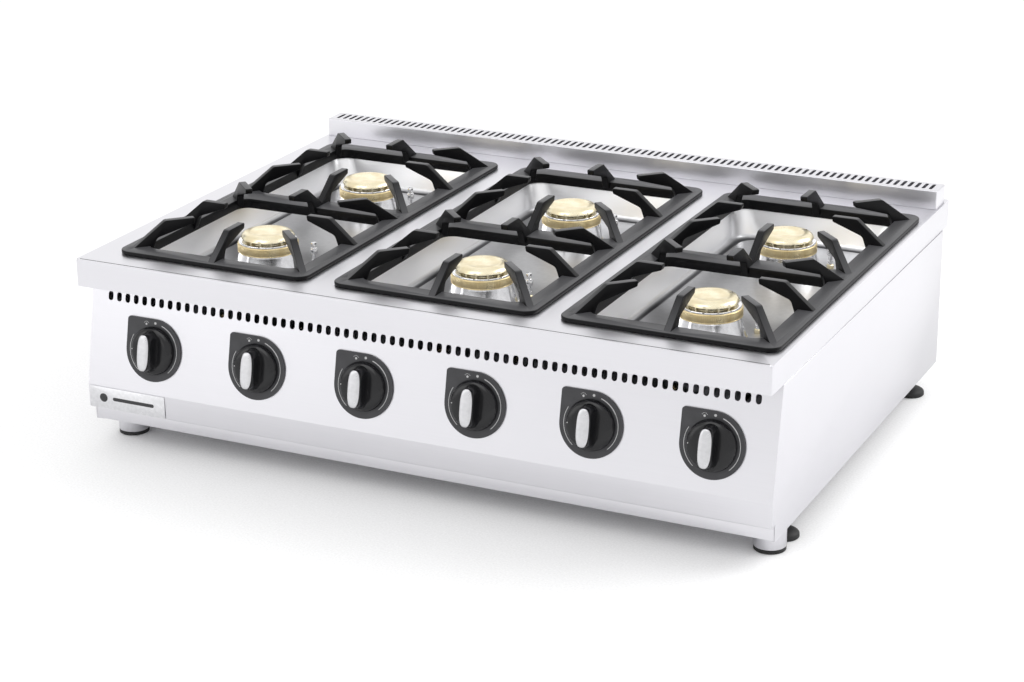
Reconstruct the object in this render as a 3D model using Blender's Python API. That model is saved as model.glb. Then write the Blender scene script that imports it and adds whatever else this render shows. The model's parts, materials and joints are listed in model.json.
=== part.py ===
"""Six-burner countertop gas range, built as an assembly of separate parts.

Units are metres, +Z is up, +X is the viewer's right, +Y points to the back.
The origin is on the floor, under the middle of the range.
"""

import math

import bmesh
import bpy
from mathutils import Matrix, Vector

# Overall sizes
WIDTH = 1.200
DEPTH = 0.900
WORKTOP_Z = 0.330
GAP = 0.0003
SHEET = 0.0015
FRONT = -DEPTH / 2

# Worktop
WORKTOP_HALF_X = WIDTH / 2 - 0.0012
LIP_DROP = 0.046
LIP_Z = WORKTOP_Z - LIP_DROP
LIP_RETURN = 0.014
EDGE_RADIUS = 0.004
CAVITY_RADIUS = 0.003

# How far a cutting shape runs past the face it opens
OVERCUT = 0.010

# Body
BODY_BACK = FRONT + 0.867
PANEL_UNDER_LIP = (FRONT + 0.0483, LIP_Z)
PANEL_TOP = (FRONT + 0.0560, 0.324)
PANEL_RETURN = 0.012
PANEL_KNEE = (FRONT + 0.0146, 0.108)
BAND_BOTTOM = (FRONT + 0.0152, 0.068)
STRIP_Y = FRONT + 0.0305
BASE_Z = 0.041
FLANGE = 0.020
SIDE_TOP_FOLD_SETBACK = 0.014
SIDE_STRIP_SETBACK = 0.004
CORNER_ALLOWANCE = 1.02
TRAY_SLOT = (0.180, 0.010)
TRAY_SLOT_ROWS = 8
TRAY_SLOT_PITCH = 0.080

# Vent slots
FRONT_SLOTS = 70
FRONT_SLOT_SPAN = 1.128
FRONT_SLOT = (0.0093, 0.0155)
FRONT_SLOT_Z = 0.2585
FRONT_SLOT_DEPTHS = (FRONT + 0.02, FRONT + 0.08)
RISER_SLOTS = 92
RISER_SLOT_SPAN = 1.160
RISER_SLOT = (0.0062, 0.031)
RISER_SLOT_DEPTH = 0.008

# Flue riser
RISER_HALF_X = 0.5955
RISER_FRONT = FRONT + 0.830
RISER_BACK = FRONT + 0.879
RISER_HEIGHT = 0.033
RISER_EDGE_RADIUS = 0.003
RISER_SEAT = 0.008

# Columns of burners
COLUMN_X = {"left": -0.376, "middle": 0.022, "right": 0.413}
COLUMN_Y = FRONT + 0.409
CELL_PITCH = 0.348
CELL_Y = {"front": COLUMN_Y - CELL_PITCH / 2, "rear": COLUMN_Y + CELL_PITCH / 2}

# Wells, as half sizes
WELL_OPENING = (0.153, 0.339)
WELL_OPENING_RADIUS = 0.030
WELL_FLANGE = (0.165, 0.351)
WELL_FLANGE_RADIUS = 0.040
WELL_FLOOR = (0.130, 0.317)
WELL_FLOOR_RADIUS = 0.042
WELL_FLOOR_Z = 0.2725
WELL_SHEET = 0.0012
WELL_HOLE_RADIUS = 0.044

# Grates: the window is a half size
GRATE_WINDOW = (0.142, 0.152)
GRATE_WINDOW_RADIUS = 0.022
GRATE_BAR = 0.034
GRATE_FLANGE = 0.0065
GRATE_SKIRT = 0.0048
GRATE_SKIRT_RADIUS = 0.028
GRATE_SKIRT_DROP = 0.010
GRATE_CORNER = 0.022

# Prongs: distances from the burner's axis
PRONG_THICKNESS = 0.012
PRONG_TOP_Z = 0.377
PRONG_KNEE_Z = 0.349
PRONG_COUNT = 8
ACROSS_PRONG = {"foot": 0.172, "edge": 0.142, "upper": 0.119, "tip": 0.078}
ALONG_PRONG = {"foot": 0.182, "edge": 0.152, "upper": 0.124, "tip": 0.080}
CORNER_PRONG = {"foot": 0.230, "edge": 0.1984, "upper": 0.170, "tip": 0.122}

# Burners: radii and heights
BURNER_SEGMENTS = 18
CONE_BASE_RADIUS = 0.0575
CONE_TOP_RADIUS = 0.0495
CUP_RADIUS = 0.0450
CROWN_RADIUS = 0.0510
CROWN_Z = 0.3070
CROWN_TOP_Z = 0.3220
CROWN_BORE_RADIUS = 0.0300
CAP_RADIUS = 0.0450
CAP_Z = 0.3295
CAP_TOP_Z = 0.3385
CAP_DISH_RADIUS = 0.0290
CAP_NECK_RADIUS = 0.0350
CAP_SPIGOT_RADIUS = 0.0292
THROAT_RADIUS = 0.030
THROAT_WALL = 0.010
MIXER_Z = 0.235
MIXER_RADIUS = 0.0140
MIXER_BORE = 0.0100
MIXER_LENGTH = 0.130

# Knobs, as heights above the panel's face
KNOB_COUNT = 6
KNOB_PITCH = 0.195
KNOB_FIRST_X = -0.4755
KNOB_DOWN_PANEL = 0.587
BEZEL_RADIUS = 0.0520
BEZEL_TOP = 0.0030
KNOB_BASE = 0.0040
KNOB_RADIUS = 0.0400
KNOB_SHOULDER = 0.0140
GRIP_TOP = 0.0360
GRIP_HALF = (0.0110, 0.0300)
SHAFT_RADIUS = 0.0040
SHAFT_DEPTH = 0.026
SHAFT_HOLE_RADIUS = 0.008
SPINDLE_CLEARANCE = 0.00015
BEZEL_CORNER_RADIUS = 0.006
BEZEL_ARC_STEPS = 18

# Gas line
MANIFOLD_RADIUS = 0.0110
MANIFOLD_Y = FRONT + 0.070
MANIFOLD_Z = 0.144
MANIFOLD_START_X = -0.510
MANIFOLD_REACH = 0.006
INLET_X = 0.545
INLET_HOLE_MARGIN = 0.004
INLET_HEX_RADIUS = 0.0145
INLET_HEX_LENGTH = 0.010
INLET_THREAD_RADIUS = 0.0104
INLET_LENGTH = 0.024
INLET_BORE_RADIUS = 0.0075
TAP_RADIUS = 0.0120
TAP_FRONT = -0.006
TAP_BACK = -0.046
STUB_RADIUS = 0.0060
TUBE_RADIUS = 0.0040
PIPE_Z = 0.205
PIPE_SETBACK = 0.004
PIPE_STRAIGHT = 0.034
INJECTOR_RADIUS = 0.0070
INJECTOR_LENGTH = 0.014
INJECTOR_STANDOFF = 0.006

# Feet
STEEL_FOOT_X = 0.570
STEEL_FOOT_Y = FRONT + 0.0945
STEEL_FOOT_RADIUS = 0.0255
STEEL_FOOT_STEP_Z = 0.005
LEVELLING_X = 0.5745
LEVELLING_Y = {"front": FRONT + 0.145, "rear": FRONT + 0.800}
LEVELLING_RADIUS = 0.0240
LEVELLING_NUT_RADIUS = 0.0085
LEVELLING_STUD_RADIUS = 0.0050

# Badge
BADGE_HALF = (0.0730, 0.0188)
BADGE_RADIUS = 0.0015
BADGE_THICKNESS = 0.0008
BADGE_STANDOFF = 0.0009
BADGE_X = -0.525


def clear_scene():
    for item in list(bpy.data.objects):
        bpy.data.objects.remove(item, do_unlink=True)


def material(name, colour, roughness, metallic):
    made = bpy.data.materials.new(name)
    made.use_nodes = True
    shader = made.node_tree.nodes["Principled BSDF"]
    shader.inputs["Base Color"].default_value = (*colour, 1.0)
    shader.inputs["Roughness"].default_value = roughness
    shader.inputs["Metallic"].default_value = metallic
    return made


def make_materials():
    return {
        "steel": material("brushed_steel", (0.78, 0.78, 0.80), 0.32, 1.0),
        "polished": material("polished_steel", (0.75, 0.75, 0.76), 0.18, 1.0),
        "galvanised": material("galvanised_steel", (0.60, 0.61, 0.62), 0.45, 1.0),
        "iron": material("cast_iron", (0.03, 0.03, 0.032), 0.50, 0.0),
        "aluminium": material("cast_aluminium", (0.72, 0.72, 0.73), 0.30, 1.0),
        "brass": material("brass", (0.80, 0.66, 0.38), 0.28, 1.0),
        "plate": material("bezel_plastic", (0.055, 0.055, 0.06), 0.45, 0.0),
        "knob": material("knob_plastic", (0.012, 0.012, 0.013), 0.18, 0.0),
        "tube": material("gas_tube", (0.55, 0.50, 0.42), 0.35, 1.0),
        "rubber": material("black_rubber", (0.02, 0.02, 0.02), 0.60, 0.0),
        "badge": material("badge_plate", (0.70, 0.70, 0.72), 0.30, 1.0),
    }


def object_from(mesh, name, surface):
    """An object holding a bmesh, with its normals facing out."""
    bmesh.ops.recalc_face_normals(mesh, faces=mesh.faces)
    data = bpy.data.meshes.new(name)
    mesh.to_mesh(data)
    mesh.free()
    made = bpy.data.objects.new(name, data)
    bpy.context.scene.collection.objects.link(made)
    if surface:
        made.data.materials.append(surface)
    return made


def smooth(made, angle=35.0):
    for face in made.data.polygons:
        face.use_smooth = True
    made.data.set_sharp_from_angle(angle=math.radians(angle))


def rounded_rectangle(half_x, half_y, radius, steps=4):
    """Corner-rounded rectangle about the origin, anticlockwise, as (x, y) points."""
    points = []
    for quarter, (sx, sy) in enumerate(((1, 1), (-1, 1), (-1, -1), (1, -1))):
        for step in range(steps + 1):
            angle = math.radians(90 * quarter + 90 * step / steps)
            x = sx * (half_x - radius) + radius * math.cos(angle)
            y = sy * (half_y - radius) + radius * math.sin(angle)
            points.append((x, y))
    return points


def shifted(points, x, y):
    return [(x + px, y + py) for px, py in points]


def circle(x, y, radius, segments):
    points = []
    for i in range(segments):
        angle = 2 * math.pi * i / segments
        points.append((x + radius * math.cos(angle), y + radius * math.sin(angle)))
    return points


def prism(mesh, points, low, high):
    """Adds an upright prism to a bmesh."""
    bottom = [mesh.verts.new((x, y, low)) for x, y in points]
    top = [mesh.verts.new((x, y, high)) for x, y in points]
    count = len(points)
    mesh.faces.new(bottom[::-1])
    mesh.faces.new(top)
    for i in range(count):
        j = (i + 1) % count
        mesh.faces.new((bottom[i], bottom[j], top[j], top[i]))


def box(mesh, low, high):
    """Adds an axis-aligned box between two corners to a bmesh."""
    corners = [(low[0], low[1]), (high[0], low[1]), (high[0], high[1]), (low[0], high[1])]
    prism(mesh, corners, low[2], high[2])


def lathe(mesh, profile, segments, close=False):
    """Adds a solid turned about +Z: profile is (radius, z) points from top to bottom."""
    rings = []
    for radius, z in profile:
        if radius == 0:
            rings.append([mesh.verts.new((0, 0, z))])
            continue
        ring = []
        for i in range(segments):
            angle = 2 * math.pi * i / segments
            ring.append(mesh.verts.new((radius * math.cos(angle), radius * math.sin(angle), z)))
        rings.append(ring)
    pairs = list(zip(rings, rings[1:]))
    if close:
        pairs.append((rings[-1], rings[0]))
    for upper, lower in pairs:
        if len(upper) == 1 and len(lower) == 1:
            continue
        for i in range(segments):
            j = (i + 1) % segments
            if len(upper) == 1:
                mesh.faces.new((upper[0], lower[i], lower[j]))
            elif len(lower) == 1:
                mesh.faces.new((upper[i], lower[0], upper[j]))
            else:
                mesh.faces.new((upper[i], lower[i], lower[j], upper[j]))


def turned(name, profile, surface, segments=BURNER_SEGMENTS, close=False):
    mesh = bmesh.new()
    lathe(mesh, profile, segments, close)
    made = object_from(mesh, name, surface)
    smooth(made)
    return made


def cutter(name, mesh):
    made = object_from(mesh, name, None)
    made.hide_render = True
    made.display_type = "WIRE"
    return made


def cut(target, *tools):
    for tool in tools:
        modifier = target.modifiers.new(tool.name, "BOOLEAN")
        modifier.object = tool
        modifier.operation = "DIFFERENCE"
        modifier.solver = "EXACT"


def join(target, tool):
    modifier = target.modifiers.new(tool.name, "BOOLEAN")
    modifier.object = tool
    modifier.operation = "UNION"
    modifier.solver = "EXACT"


def thicken(target, thickness, offset):
    modifier = target.modifiers.new("sheet", "SOLIDIFY")
    modifier.thickness = thickness
    modifier.offset = offset
    modifier.use_even_offset = True


def folded_sheet(name, profile, half_x, thickness, surface):
    """Sheet bent along X: profile is (y, z) points, and the sheet grows to their right-hand side."""
    mesh = bmesh.new()
    rows = [
        [mesh.verts.new((x, y, z)) for y, z in profile]
        for x in (-half_x, half_x)
    ]
    for i in range(len(profile) - 1):
        mesh.faces.new((rows[0][i], rows[1][i], rows[1][i + 1], rows[0][i + 1]))
    data = bpy.data.meshes.new(name)
    mesh.to_mesh(data)
    mesh.free()
    made = bpy.data.objects.new(name, data)
    bpy.context.scene.collection.objects.link(made)
    made.data.materials.append(surface)
    thicken(made, thickness, -1)
    return made


def tube_between(mesh, start, end, radius, segments=12):
    """Adds a round bar from start to end."""
    start, end = Vector(start), Vector(end)
    along = end - start
    turn = along.to_track_quat("Z", "Y").to_matrix().to_4x4()
    place = Matrix.Translation((start + end) / 2) @ turn
    bmesh.ops.create_cone(
        mesh, cap_ends=True, segments=segments, radius1=radius, radius2=radius,
        depth=along.length, matrix=place,
    )


# Casing


def make_worktop(surfaces):
    mesh = bmesh.new()
    outline = rounded_rectangle(WORKTOP_HALF_X, DEPTH / 2, EDGE_RADIUS, 2)
    prism(mesh, outline, LIP_Z, WORKTOP_Z)
    top_edges = [
        edge for edge in mesh.edges
        if all(abs(vert.co.z - WORKTOP_Z) < 1e-6 for vert in edge.verts)
    ]
    bmesh.ops.bevel(mesh, geom=top_edges, offset=EDGE_RADIUS * 0.8, segments=2, affect="EDGES", profile=0.5)
    worktop = object_from(mesh, "worktop", surfaces["steel"])

    mesh = bmesh.new()
    inner_x, inner_y = WORKTOP_HALF_X - SHEET, DEPTH / 2 - SHEET
    outline = rounded_rectangle(inner_x, inner_y, CAVITY_RADIUS, 1)
    prism(mesh, outline, LIP_Z + SHEET, WORKTOP_Z - SHEET)
    cavity = cutter("cut_worktop_cavity", mesh)

    mesh = bmesh.new()
    mouth_x, mouth_y = inner_x - LIP_RETURN, inner_y - LIP_RETURN
    outline = rounded_rectangle(mouth_x, mouth_y, CAVITY_RADIUS, 1)
    prism(mesh, outline, LIP_Z - OVERCUT, LIP_Z + OVERCUT)
    mouth = cutter("cut_worktop_mouth", mesh)

    mesh = bmesh.new()
    for x in COLUMN_X.values():
        outline = shifted(rounded_rectangle(*WELL_OPENING, WELL_OPENING_RADIUS), x, COLUMN_Y)
        prism(mesh, outline, WORKTOP_Z - OVERCUT, WORKTOP_Z + OVERCUT)
    box(
        mesh,
        (-RISER_SLOT_SPAN / 2, RISER_FRONT + RISER_SEAT, WORKTOP_Z - OVERCUT),
        (RISER_SLOT_SPAN / 2, RISER_BACK - RISER_SEAT, WORKTOP_Z + OVERCUT),
    )
    openings = cutter("cut_worktop_openings", mesh)
    cut(worktop, cavity, mouth, openings)
    return worktop


def make_well(column, surfaces):
    """Deep-drawn pan: a rim under the worktop, sloped walls, and a flat floor with two burner holes."""
    rim_z = WORKTOP_Z - SHEET - GAP
    open_x, open_y = WELL_OPENING
    floor_x, floor_y = WELL_FLOOR
    steps = [
        (*WELL_FLANGE, WELL_FLANGE_RADIUS, rim_z),
        (open_x, open_y, WELL_OPENING_RADIUS, rim_z),
        (open_x - 0.004, open_y - 0.004, WELL_OPENING_RADIUS - 0.001, rim_z - 0.004),
        (floor_x + 0.003, floor_y + 0.003, WELL_FLOOR_RADIUS + 0.001, WELL_FLOOR_Z + 0.001),
        (floor_x, floor_y, WELL_FLOOR_RADIUS, WELL_FLOOR_Z - 0.0015),
        (floor_x - 0.008, floor_y - 0.008, WELL_FLOOR_RADIUS - 0.006, WELL_FLOOR_Z),
    ]
    mesh = bmesh.new()
    rings = []
    for half_x, half_y, radius, z in steps:
        outline = rounded_rectangle(half_x, half_y, radius)
        rings.append([mesh.verts.new((x, y, z)) for x, y in outline])
    for outer, inner in zip(rings, rings[1:]):
        count = len(outer)
        for i in range(count):
            j = (i + 1) % count
            mesh.faces.new((outer[i], outer[j], inner[j], inner[i]))
    mesh.faces.new(rings[-1])
    for face in mesh.faces:
        face.normal_update()
    well = object_from(mesh, f"well_{column}", surfaces["polished"])
    if well.data.polygons[-1].normal.z < 0:
        well.data.flip_normals()
    well.location = (COLUMN_X[column], COLUMN_Y, 0)
    smooth(well, 30)
    thicken(well, WELL_SHEET, -1)

    mesh = bmesh.new()
    for y in CELL_Y.values():
        hole = circle(COLUMN_X[column], y, WELL_HOLE_RADIUS, BURNER_SEGMENTS)
        prism(mesh, hole, WELL_FLOOR_Z - OVERCUT, WELL_FLOOR_Z + OVERCUT)
    cut(well, cutter(f"cut_well_{column}", mesh))
    return well


def panel_point(down):
    """Point on the inclined panel's face: 0 at its top under the lip, 1 at the knee."""
    top = Vector((0, *PANEL_UNDER_LIP))
    knee = Vector((0, *PANEL_KNEE))
    return top.lerp(knee, down)


def panel_matrix(x, down=KNOB_DOWN_PANEL):
    """Frame on the panel's face: local +Z points out of it, local +Y up along it."""
    slope = (panel_point(0) - panel_point(1)).normalized()
    out = Vector((1, 0, 0)).cross(slope).normalized()
    place = Matrix((Vector((1, 0, 0)), slope, out)).transposed().to_4x4()
    place.translation = panel_point(down) + Vector((x, 0, 0))
    return place


def knob_x(index):
    return KNOB_FIRST_X + KNOB_PITCH * index


def make_front_panel(surfaces):
    profile = [
        (BAND_BOTTOM[0] + PANEL_RETURN, BAND_BOTTOM[1]),
        BAND_BOTTOM,
        PANEL_KNEE,
        PANEL_TOP,
        (PANEL_TOP[0] + PANEL_RETURN, PANEL_TOP[1]),
    ]
    panel = folded_sheet("front_panel", profile, WIDTH / 2, SHEET, surfaces["steel"])

    mesh = bmesh.new()
    width, height = FRONT_SLOT
    near, far = FRONT_SLOT_DEPTHS
    for i in range(FRONT_SLOTS):
        x = -FRONT_SLOT_SPAN / 2 + FRONT_SLOT_SPAN * i / (FRONT_SLOTS - 1)
        box(
            mesh,
            (x - width / 2, near, FRONT_SLOT_Z - height / 2),
            (x + width / 2, far, FRONT_SLOT_Z + height / 2),
        )
    slots = cutter("cut_front_slots", mesh)

    mesh = bmesh.new()
    for i in range(KNOB_COUNT):
        place = panel_matrix(knob_x(i))
        inner, outer = place @ Vector((0, 0, -OVERCUT)), place @ Vector((0, 0, OVERCUT))
        tube_between(mesh, inner, outer, SHAFT_HOLE_RADIUS)
    holes = cutter("cut_shaft_holes", mesh)

    mesh = bmesh.new()
    clear_x = WORKTOP_HALF_X - SHEET - LIP_RETURN - 0.001
    for sign in (-1, 1):
        low_x, high_x = sorted((sign * clear_x, sign * (WIDTH / 2 + OVERCUT)))
        low = (low_x, FRONT, LIP_Z - GAP)
        high = (high_x, PANEL_TOP[0] + 2 * PANEL_RETURN, WORKTOP_Z + OVERCUT)
        box(mesh, low, high)
    notches = cutter("cut_panel_notches", mesh)
    cut(panel, slots, holes, notches)
    return panel


def make_side_panel(side, surfaces):
    """Flat side with its top, bottom and back edges folded inwards."""
    sign = {"left": -1, "right": 1}[side]
    outer = sign * WIDTH / 2
    inner = sign * (WIDTH / 2 - FLANGE)
    skin = SHEET + GAP
    slope = (PANEL_TOP[0] - PANEL_KNEE[0]) / (PANEL_TOP[1] - PANEL_KNEE[1])
    top_z = LIP_Z - GAP
    knee_y = PANEL_KNEE[0] + CORNER_ALLOWANCE * skin
    top_y = knee_y + slope * (top_z - PANEL_KNEE[1])
    outline = [
        (STRIP_Y, BASE_Z),
        (STRIP_Y, BAND_BOTTOM[1] + skin),
        (BAND_BOTTOM[0] + skin, BAND_BOTTOM[1] + skin),
        (knee_y, PANEL_KNEE[1]),
        (top_y, top_z),
        (BODY_BACK, top_z),
        (BODY_BACK, BASE_Z),
    ]
    fold_start = {4: SIDE_TOP_FOLD_SETBACK, 0: SIDE_STRIP_SETBACK}
    mesh = bmesh.new()
    skin_points = [mesh.verts.new((outer, y, z)) for y, z in outline]
    mesh.faces.new(skin_points)
    folded = {}
    for index in (4, 5, 6, 0):
        y, z = outline[index]
        folded[index] = mesh.verts.new((inner, y + fold_start.get(index, 0), z))
    for a, b in ((4, 5), (5, 6), (6, 0)):
        mesh.faces.new((skin_points[a], skin_points[b], folded[b], folded[a]))
    made = object_from(mesh, f"side_panel_{side}", surfaces["steel"])
    if made.data.polygons[0].normal.x * sign < 0:
        made.data.flip_normals()
    thicken(made, SHEET, -1)
    return made


def make_back_panel(surfaces):
    """Plain back, flanged forwards at its top and bottom, with a hole for the gas inlet."""
    y = BODY_BACK - SHEET - GAP
    low, high = BASE_Z + 2 * (SHEET + GAP), LIP_Z - SHEET - 2 * GAP
    profile = [(y - FLANGE, low), (y, low), (y, high), (y - FLANGE, high)]
    half_x = WIDTH / 2 - SHEET - GAP
    made = folded_sheet("back_panel", profile[::-1], half_x, SHEET, surfaces["galvanised"])
    mesh = bmesh.new()
    near, far = (INLET_X, y - OVERCUT, MANIFOLD_Z), (INLET_X, y + OVERCUT, MANIFOLD_Z)
    tube_between(mesh, near, far, MANIFOLD_RADIUS + INLET_HOLE_MARGIN, 16)
    cut(made, cutter("cut_inlet_hole", mesh))
    return made


def make_base_tray(surfaces):
    """Bottom sheet with raised edges: its front edge is the strip under the control panel."""
    half_x = WIDTH / 2 - SHEET - GAP
    low = BASE_Z + SHEET + GAP
    back = BODY_BACK - 2 * (SHEET + GAP)
    front_top = BAND_BOTTOM[1] - GAP
    mesh = bmesh.new()
    corners = [(-half_x, STRIP_Y), (half_x, STRIP_Y), (half_x, back), (-half_x, back)]
    floor = [mesh.verts.new((x, y, low)) for x, y in corners]
    mesh.faces.new(floor)
    front = [mesh.verts.new((x, STRIP_Y, front_top)) for x in (-half_x, half_x)]
    mesh.faces.new((floor[1], floor[0], front[0], front[1]))
    made = object_from(mesh, "base_tray", surfaces["steel"])
    if made.data.polygons[0].normal.z > 0:
        made.data.flip_normals()
    thicken(made, SHEET, -1)

    mesh = bmesh.new()
    for column_x in COLUMN_X.values():
        for row in range(TRAY_SLOT_ROWS):
            y = COLUMN_Y + TRAY_SLOT_PITCH * (row - (TRAY_SLOT_ROWS - 1) / 2)
            box(
                mesh,
                (column_x - TRAY_SLOT[0] / 2, y - TRAY_SLOT[1] / 2, low - OVERCUT),
                (column_x + TRAY_SLOT[0] / 2, y + TRAY_SLOT[1] / 2, low + OVERCUT),
            )
    cut(made, cutter("cut_tray_slots", mesh))
    return made


def make_flue_riser(surfaces):
    """Open-bottomed upstand over the worktop's flue opening, slotted along its top."""
    low, high = WORKTOP_Z + GAP, WORKTOP_Z + RISER_HEIGHT
    mesh = bmesh.new()
    box(mesh, (-RISER_HALF_X, RISER_FRONT, low), (RISER_HALF_X, RISER_BACK, high))
    upper = [edge for edge in mesh.edges if all(vert.co.z > high - 1e-6 for vert in edge.verts)]
    bmesh.ops.bevel(mesh, geom=upper, offset=RISER_EDGE_RADIUS, segments=2, affect="EDGES", profile=0.5)
    riser = object_from(mesh, "flue_riser", surfaces["steel"])

    mesh = bmesh.new()
    box(
        mesh,
        (-RISER_HALF_X + SHEET, RISER_FRONT + SHEET, low - OVERCUT),
        (RISER_HALF_X - SHEET, RISER_BACK - SHEET, high - SHEET),
    )
    hollow = cutter("cut_riser_hollow", mesh)

    mesh = bmesh.new()
    middle_y = (RISER_FRONT + RISER_BACK) / 2
    pitch = RISER_SLOT_SPAN / (RISER_SLOTS - 1)
    for i in range(RISER_SLOTS):
        x = -RISER_SLOT_SPAN / 2 + pitch * i
        box(
            mesh,
            (x - RISER_SLOT[0] / 2, middle_y - RISER_SLOT[1] / 2, high - RISER_SLOT_DEPTH),
            (x + RISER_SLOT[0] / 2, middle_y + RISER_SLOT[1] / 2, high + RISER_SLOT_DEPTH),
        )
    slots = cutter("cut_riser_slots", mesh)
    cut(riser, hollow, slots)
    return riser


def make_badge(surfaces):
    """Blank rating plate on the band at the left of the control panel."""
    mesh = bmesh.new()
    z = (BAND_BOTTOM[1] + PANEL_KNEE[1]) / 2
    outline = rounded_rectangle(*BADGE_HALF, BADGE_RADIUS, 2)
    prism(mesh, outline, 0, BADGE_THICKNESS)
    bmesh.ops.rotate(mesh, verts=mesh.verts, matrix=Matrix.Rotation(math.radians(90), 3, "X"))
    made = object_from(mesh, "badge_plate", surfaces["badge"])
    made.location = (BADGE_X, BAND_BOTTOM[0] - BADGE_STANDOFF, z)
    return made


# Grates


def prong_outline(foot, edge, upper, tip):
    """Side view of a prong, as (distance from the burner, height) points."""
    frame_mid = WORKTOP_Z + GAP + GRATE_FLANGE / 2
    skirt_low = WORKTOP_Z - GRATE_SKIRT_DROP + 0.002
    return [
        (foot, frame_mid),
        (edge + 0.0030, frame_mid),
        (edge + 0.0030, skirt_low),
        (edge + 0.0010, skirt_low),
        (edge - 0.0015, WORKTOP_Z - 0.001),
        (edge - 0.0080, PRONG_KNEE_Z),
        (tip + 0.0020, PRONG_TOP_Z - 0.009),
        (tip, PRONG_TOP_Z - 0.001),
        (tip + 0.0010, PRONG_TOP_Z),
        (upper, PRONG_TOP_Z),
        (upper + 0.0030, PRONG_TOP_Z - 0.002),
    ]


def prong_shape(index):
    """The prongs at odd steps point out of the corners; the others stand on the bars."""
    if index % 2:
        return CORNER_PRONG
    return ALONG_PRONG if index % 4 else ACROSS_PRONG


def prong(centre, angle, shape):
    """A flat plate standing in the plane that points at the burner."""
    mesh = bmesh.new()
    outline = prong_outline(**shape)
    half = PRONG_THICKNESS / 2
    sides = []
    for offset in (-half, half):
        sides.append([mesh.verts.new((r, offset, z)) for r, z in outline])
    mesh.faces.new(sides[0])
    mesh.faces.new(sides[1][::-1])
    count = len(outline)
    for i in range(count):
        j = (i + 1) % count
        mesh.faces.new((sides[0][i], sides[1][i], sides[1][j], sides[0][j]))
    place = Matrix.Translation((*centre, 0)) @ Matrix.Rotation(angle, 4, "Z")
    bmesh.ops.transform(mesh, matrix=place, verts=mesh.verts)
    return mesh


def make_grate(column, surfaces):
    """Cast frame over two burners, with eight prongs pointing at each of them."""
    x = COLUMN_X[column]
    window_x, window_y = GRATE_WINDOW
    frame_x, frame_y = window_x + GRATE_BAR, window_y + GRATE_BAR + CELL_PITCH / 2
    low, high = WORKTOP_Z + GAP, WORKTOP_Z + GAP + GRATE_FLANGE
    mesh = bmesh.new()
    prism(mesh, shifted(rounded_rectangle(frame_x, frame_y, GRATE_CORNER), x, COLUMN_Y), low, high)
    grate = object_from(mesh, f"grate_{column}", surfaces["iron"])

    mesh = bmesh.new()
    skirt_x, skirt_y = window_x + GRATE_SKIRT, window_y + GRATE_SKIRT + CELL_PITCH / 2
    outline = shifted(rounded_rectangle(skirt_x, skirt_y, GRATE_SKIRT_RADIUS), x, COLUMN_Y)
    prism(mesh, outline, WORKTOP_Z - GRATE_SKIRT_DROP, (low + high) / 2)
    join(grate, cutter(f"join_skirt_{column}", mesh))

    mesh = bmesh.new()
    for y in CELL_Y.values():
        outline = shifted(rounded_rectangle(window_x, window_y, GRATE_WINDOW_RADIUS), x, y)
        prism(mesh, outline, WORKTOP_Z - 2 * GRATE_SKIRT_DROP, WORKTOP_Z + 2 * GRATE_SKIRT_DROP)
    cut(grate, cutter(f"cut_windows_{column}", mesh))

    for cell, y in CELL_Y.items():
        for i in range(PRONG_COUNT):
            mesh = prong((x, y), 2 * math.pi * i / PRONG_COUNT, prong_shape(i))
            join(grate, cutter(f"join_prong_{column}_{cell}_{i}", mesh))
    return grate


# Burners


def make_burner_body(column, cell, surfaces):
    """Cone standing in the well, with its throat and mixing tube below the floor."""
    x, y = COLUMN_X[column], CELL_Y[cell]
    floor = WELL_FLOOR_Z + GAP
    profile = [
        (CONE_TOP_RADIUS, CROWN_Z - GAP),
        (CONE_BASE_RADIUS, floor + 0.003),
        (CONE_BASE_RADIUS + 0.0015, floor),
        (WELL_HOLE_RADIUS - 0.002, floor),
        (THROAT_RADIUS + 0.004, floor - 0.008),
        (THROAT_RADIUS, MIXER_Z - 0.018),
        (0, MIXER_Z - 0.018),
        (0, floor - 0.010),
        (THROAT_RADIUS - 0.002, floor - 0.006),
        (CUP_RADIUS, CROWN_Z - 0.010),
        (CUP_RADIUS, CROWN_Z - GAP),
    ]
    made = turned(f"burner_body_{column}_{cell}", profile, surfaces["aluminium"], close=True)
    made.location = (x, y, 0)

    mesh = bmesh.new()
    tube_between(mesh, (x, y, MIXER_Z), (x, y - MIXER_LENGTH, MIXER_Z), MIXER_RADIUS, 10)
    join(made, cutter(f"join_mixer_{column}_{cell}", mesh))
    mesh = bmesh.new()
    tube_between(mesh, (x, y, MIXER_Z), (x, y - MIXER_LENGTH - OVERCUT, MIXER_Z), MIXER_BORE, 10)
    cut(made, cutter(f"cut_mixer_{column}_{cell}", mesh))
    mesh = bmesh.new()
    tube_between(mesh, (x, y, MIXER_Z), (x, y, floor + OVERCUT), THROAT_RADIUS - THROAT_WALL)
    cut(made, cutter(f"cut_throat_{column}_{cell}", mesh))
    return made


def make_burner_crown(column, cell, surfaces):
    """Brass ring that lifts off the cone."""
    spigot = CUP_RADIUS - 0.0006
    profile = [
        (CROWN_BORE_RADIUS, CROWN_TOP_Z + 0.0010),
        (CROWN_RADIUS - 0.003, CROWN_TOP_Z + 0.0010),
        (CROWN_RADIUS, CROWN_TOP_Z - 0.0010),
        (CROWN_RADIUS, CROWN_Z),
        (spigot, CROWN_Z),
        (spigot, CROWN_Z - 0.007),
        (spigot - 0.003, CROWN_Z - 0.007),
        (CROWN_BORE_RADIUS, CROWN_TOP_Z - 0.004),
    ]
    made = turned(f"burner_crown_{column}_{cell}", profile, surfaces["brass"], close=True)
    made.location = (COLUMN_X[column], CELL_Y[cell], 0)
    return made


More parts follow.
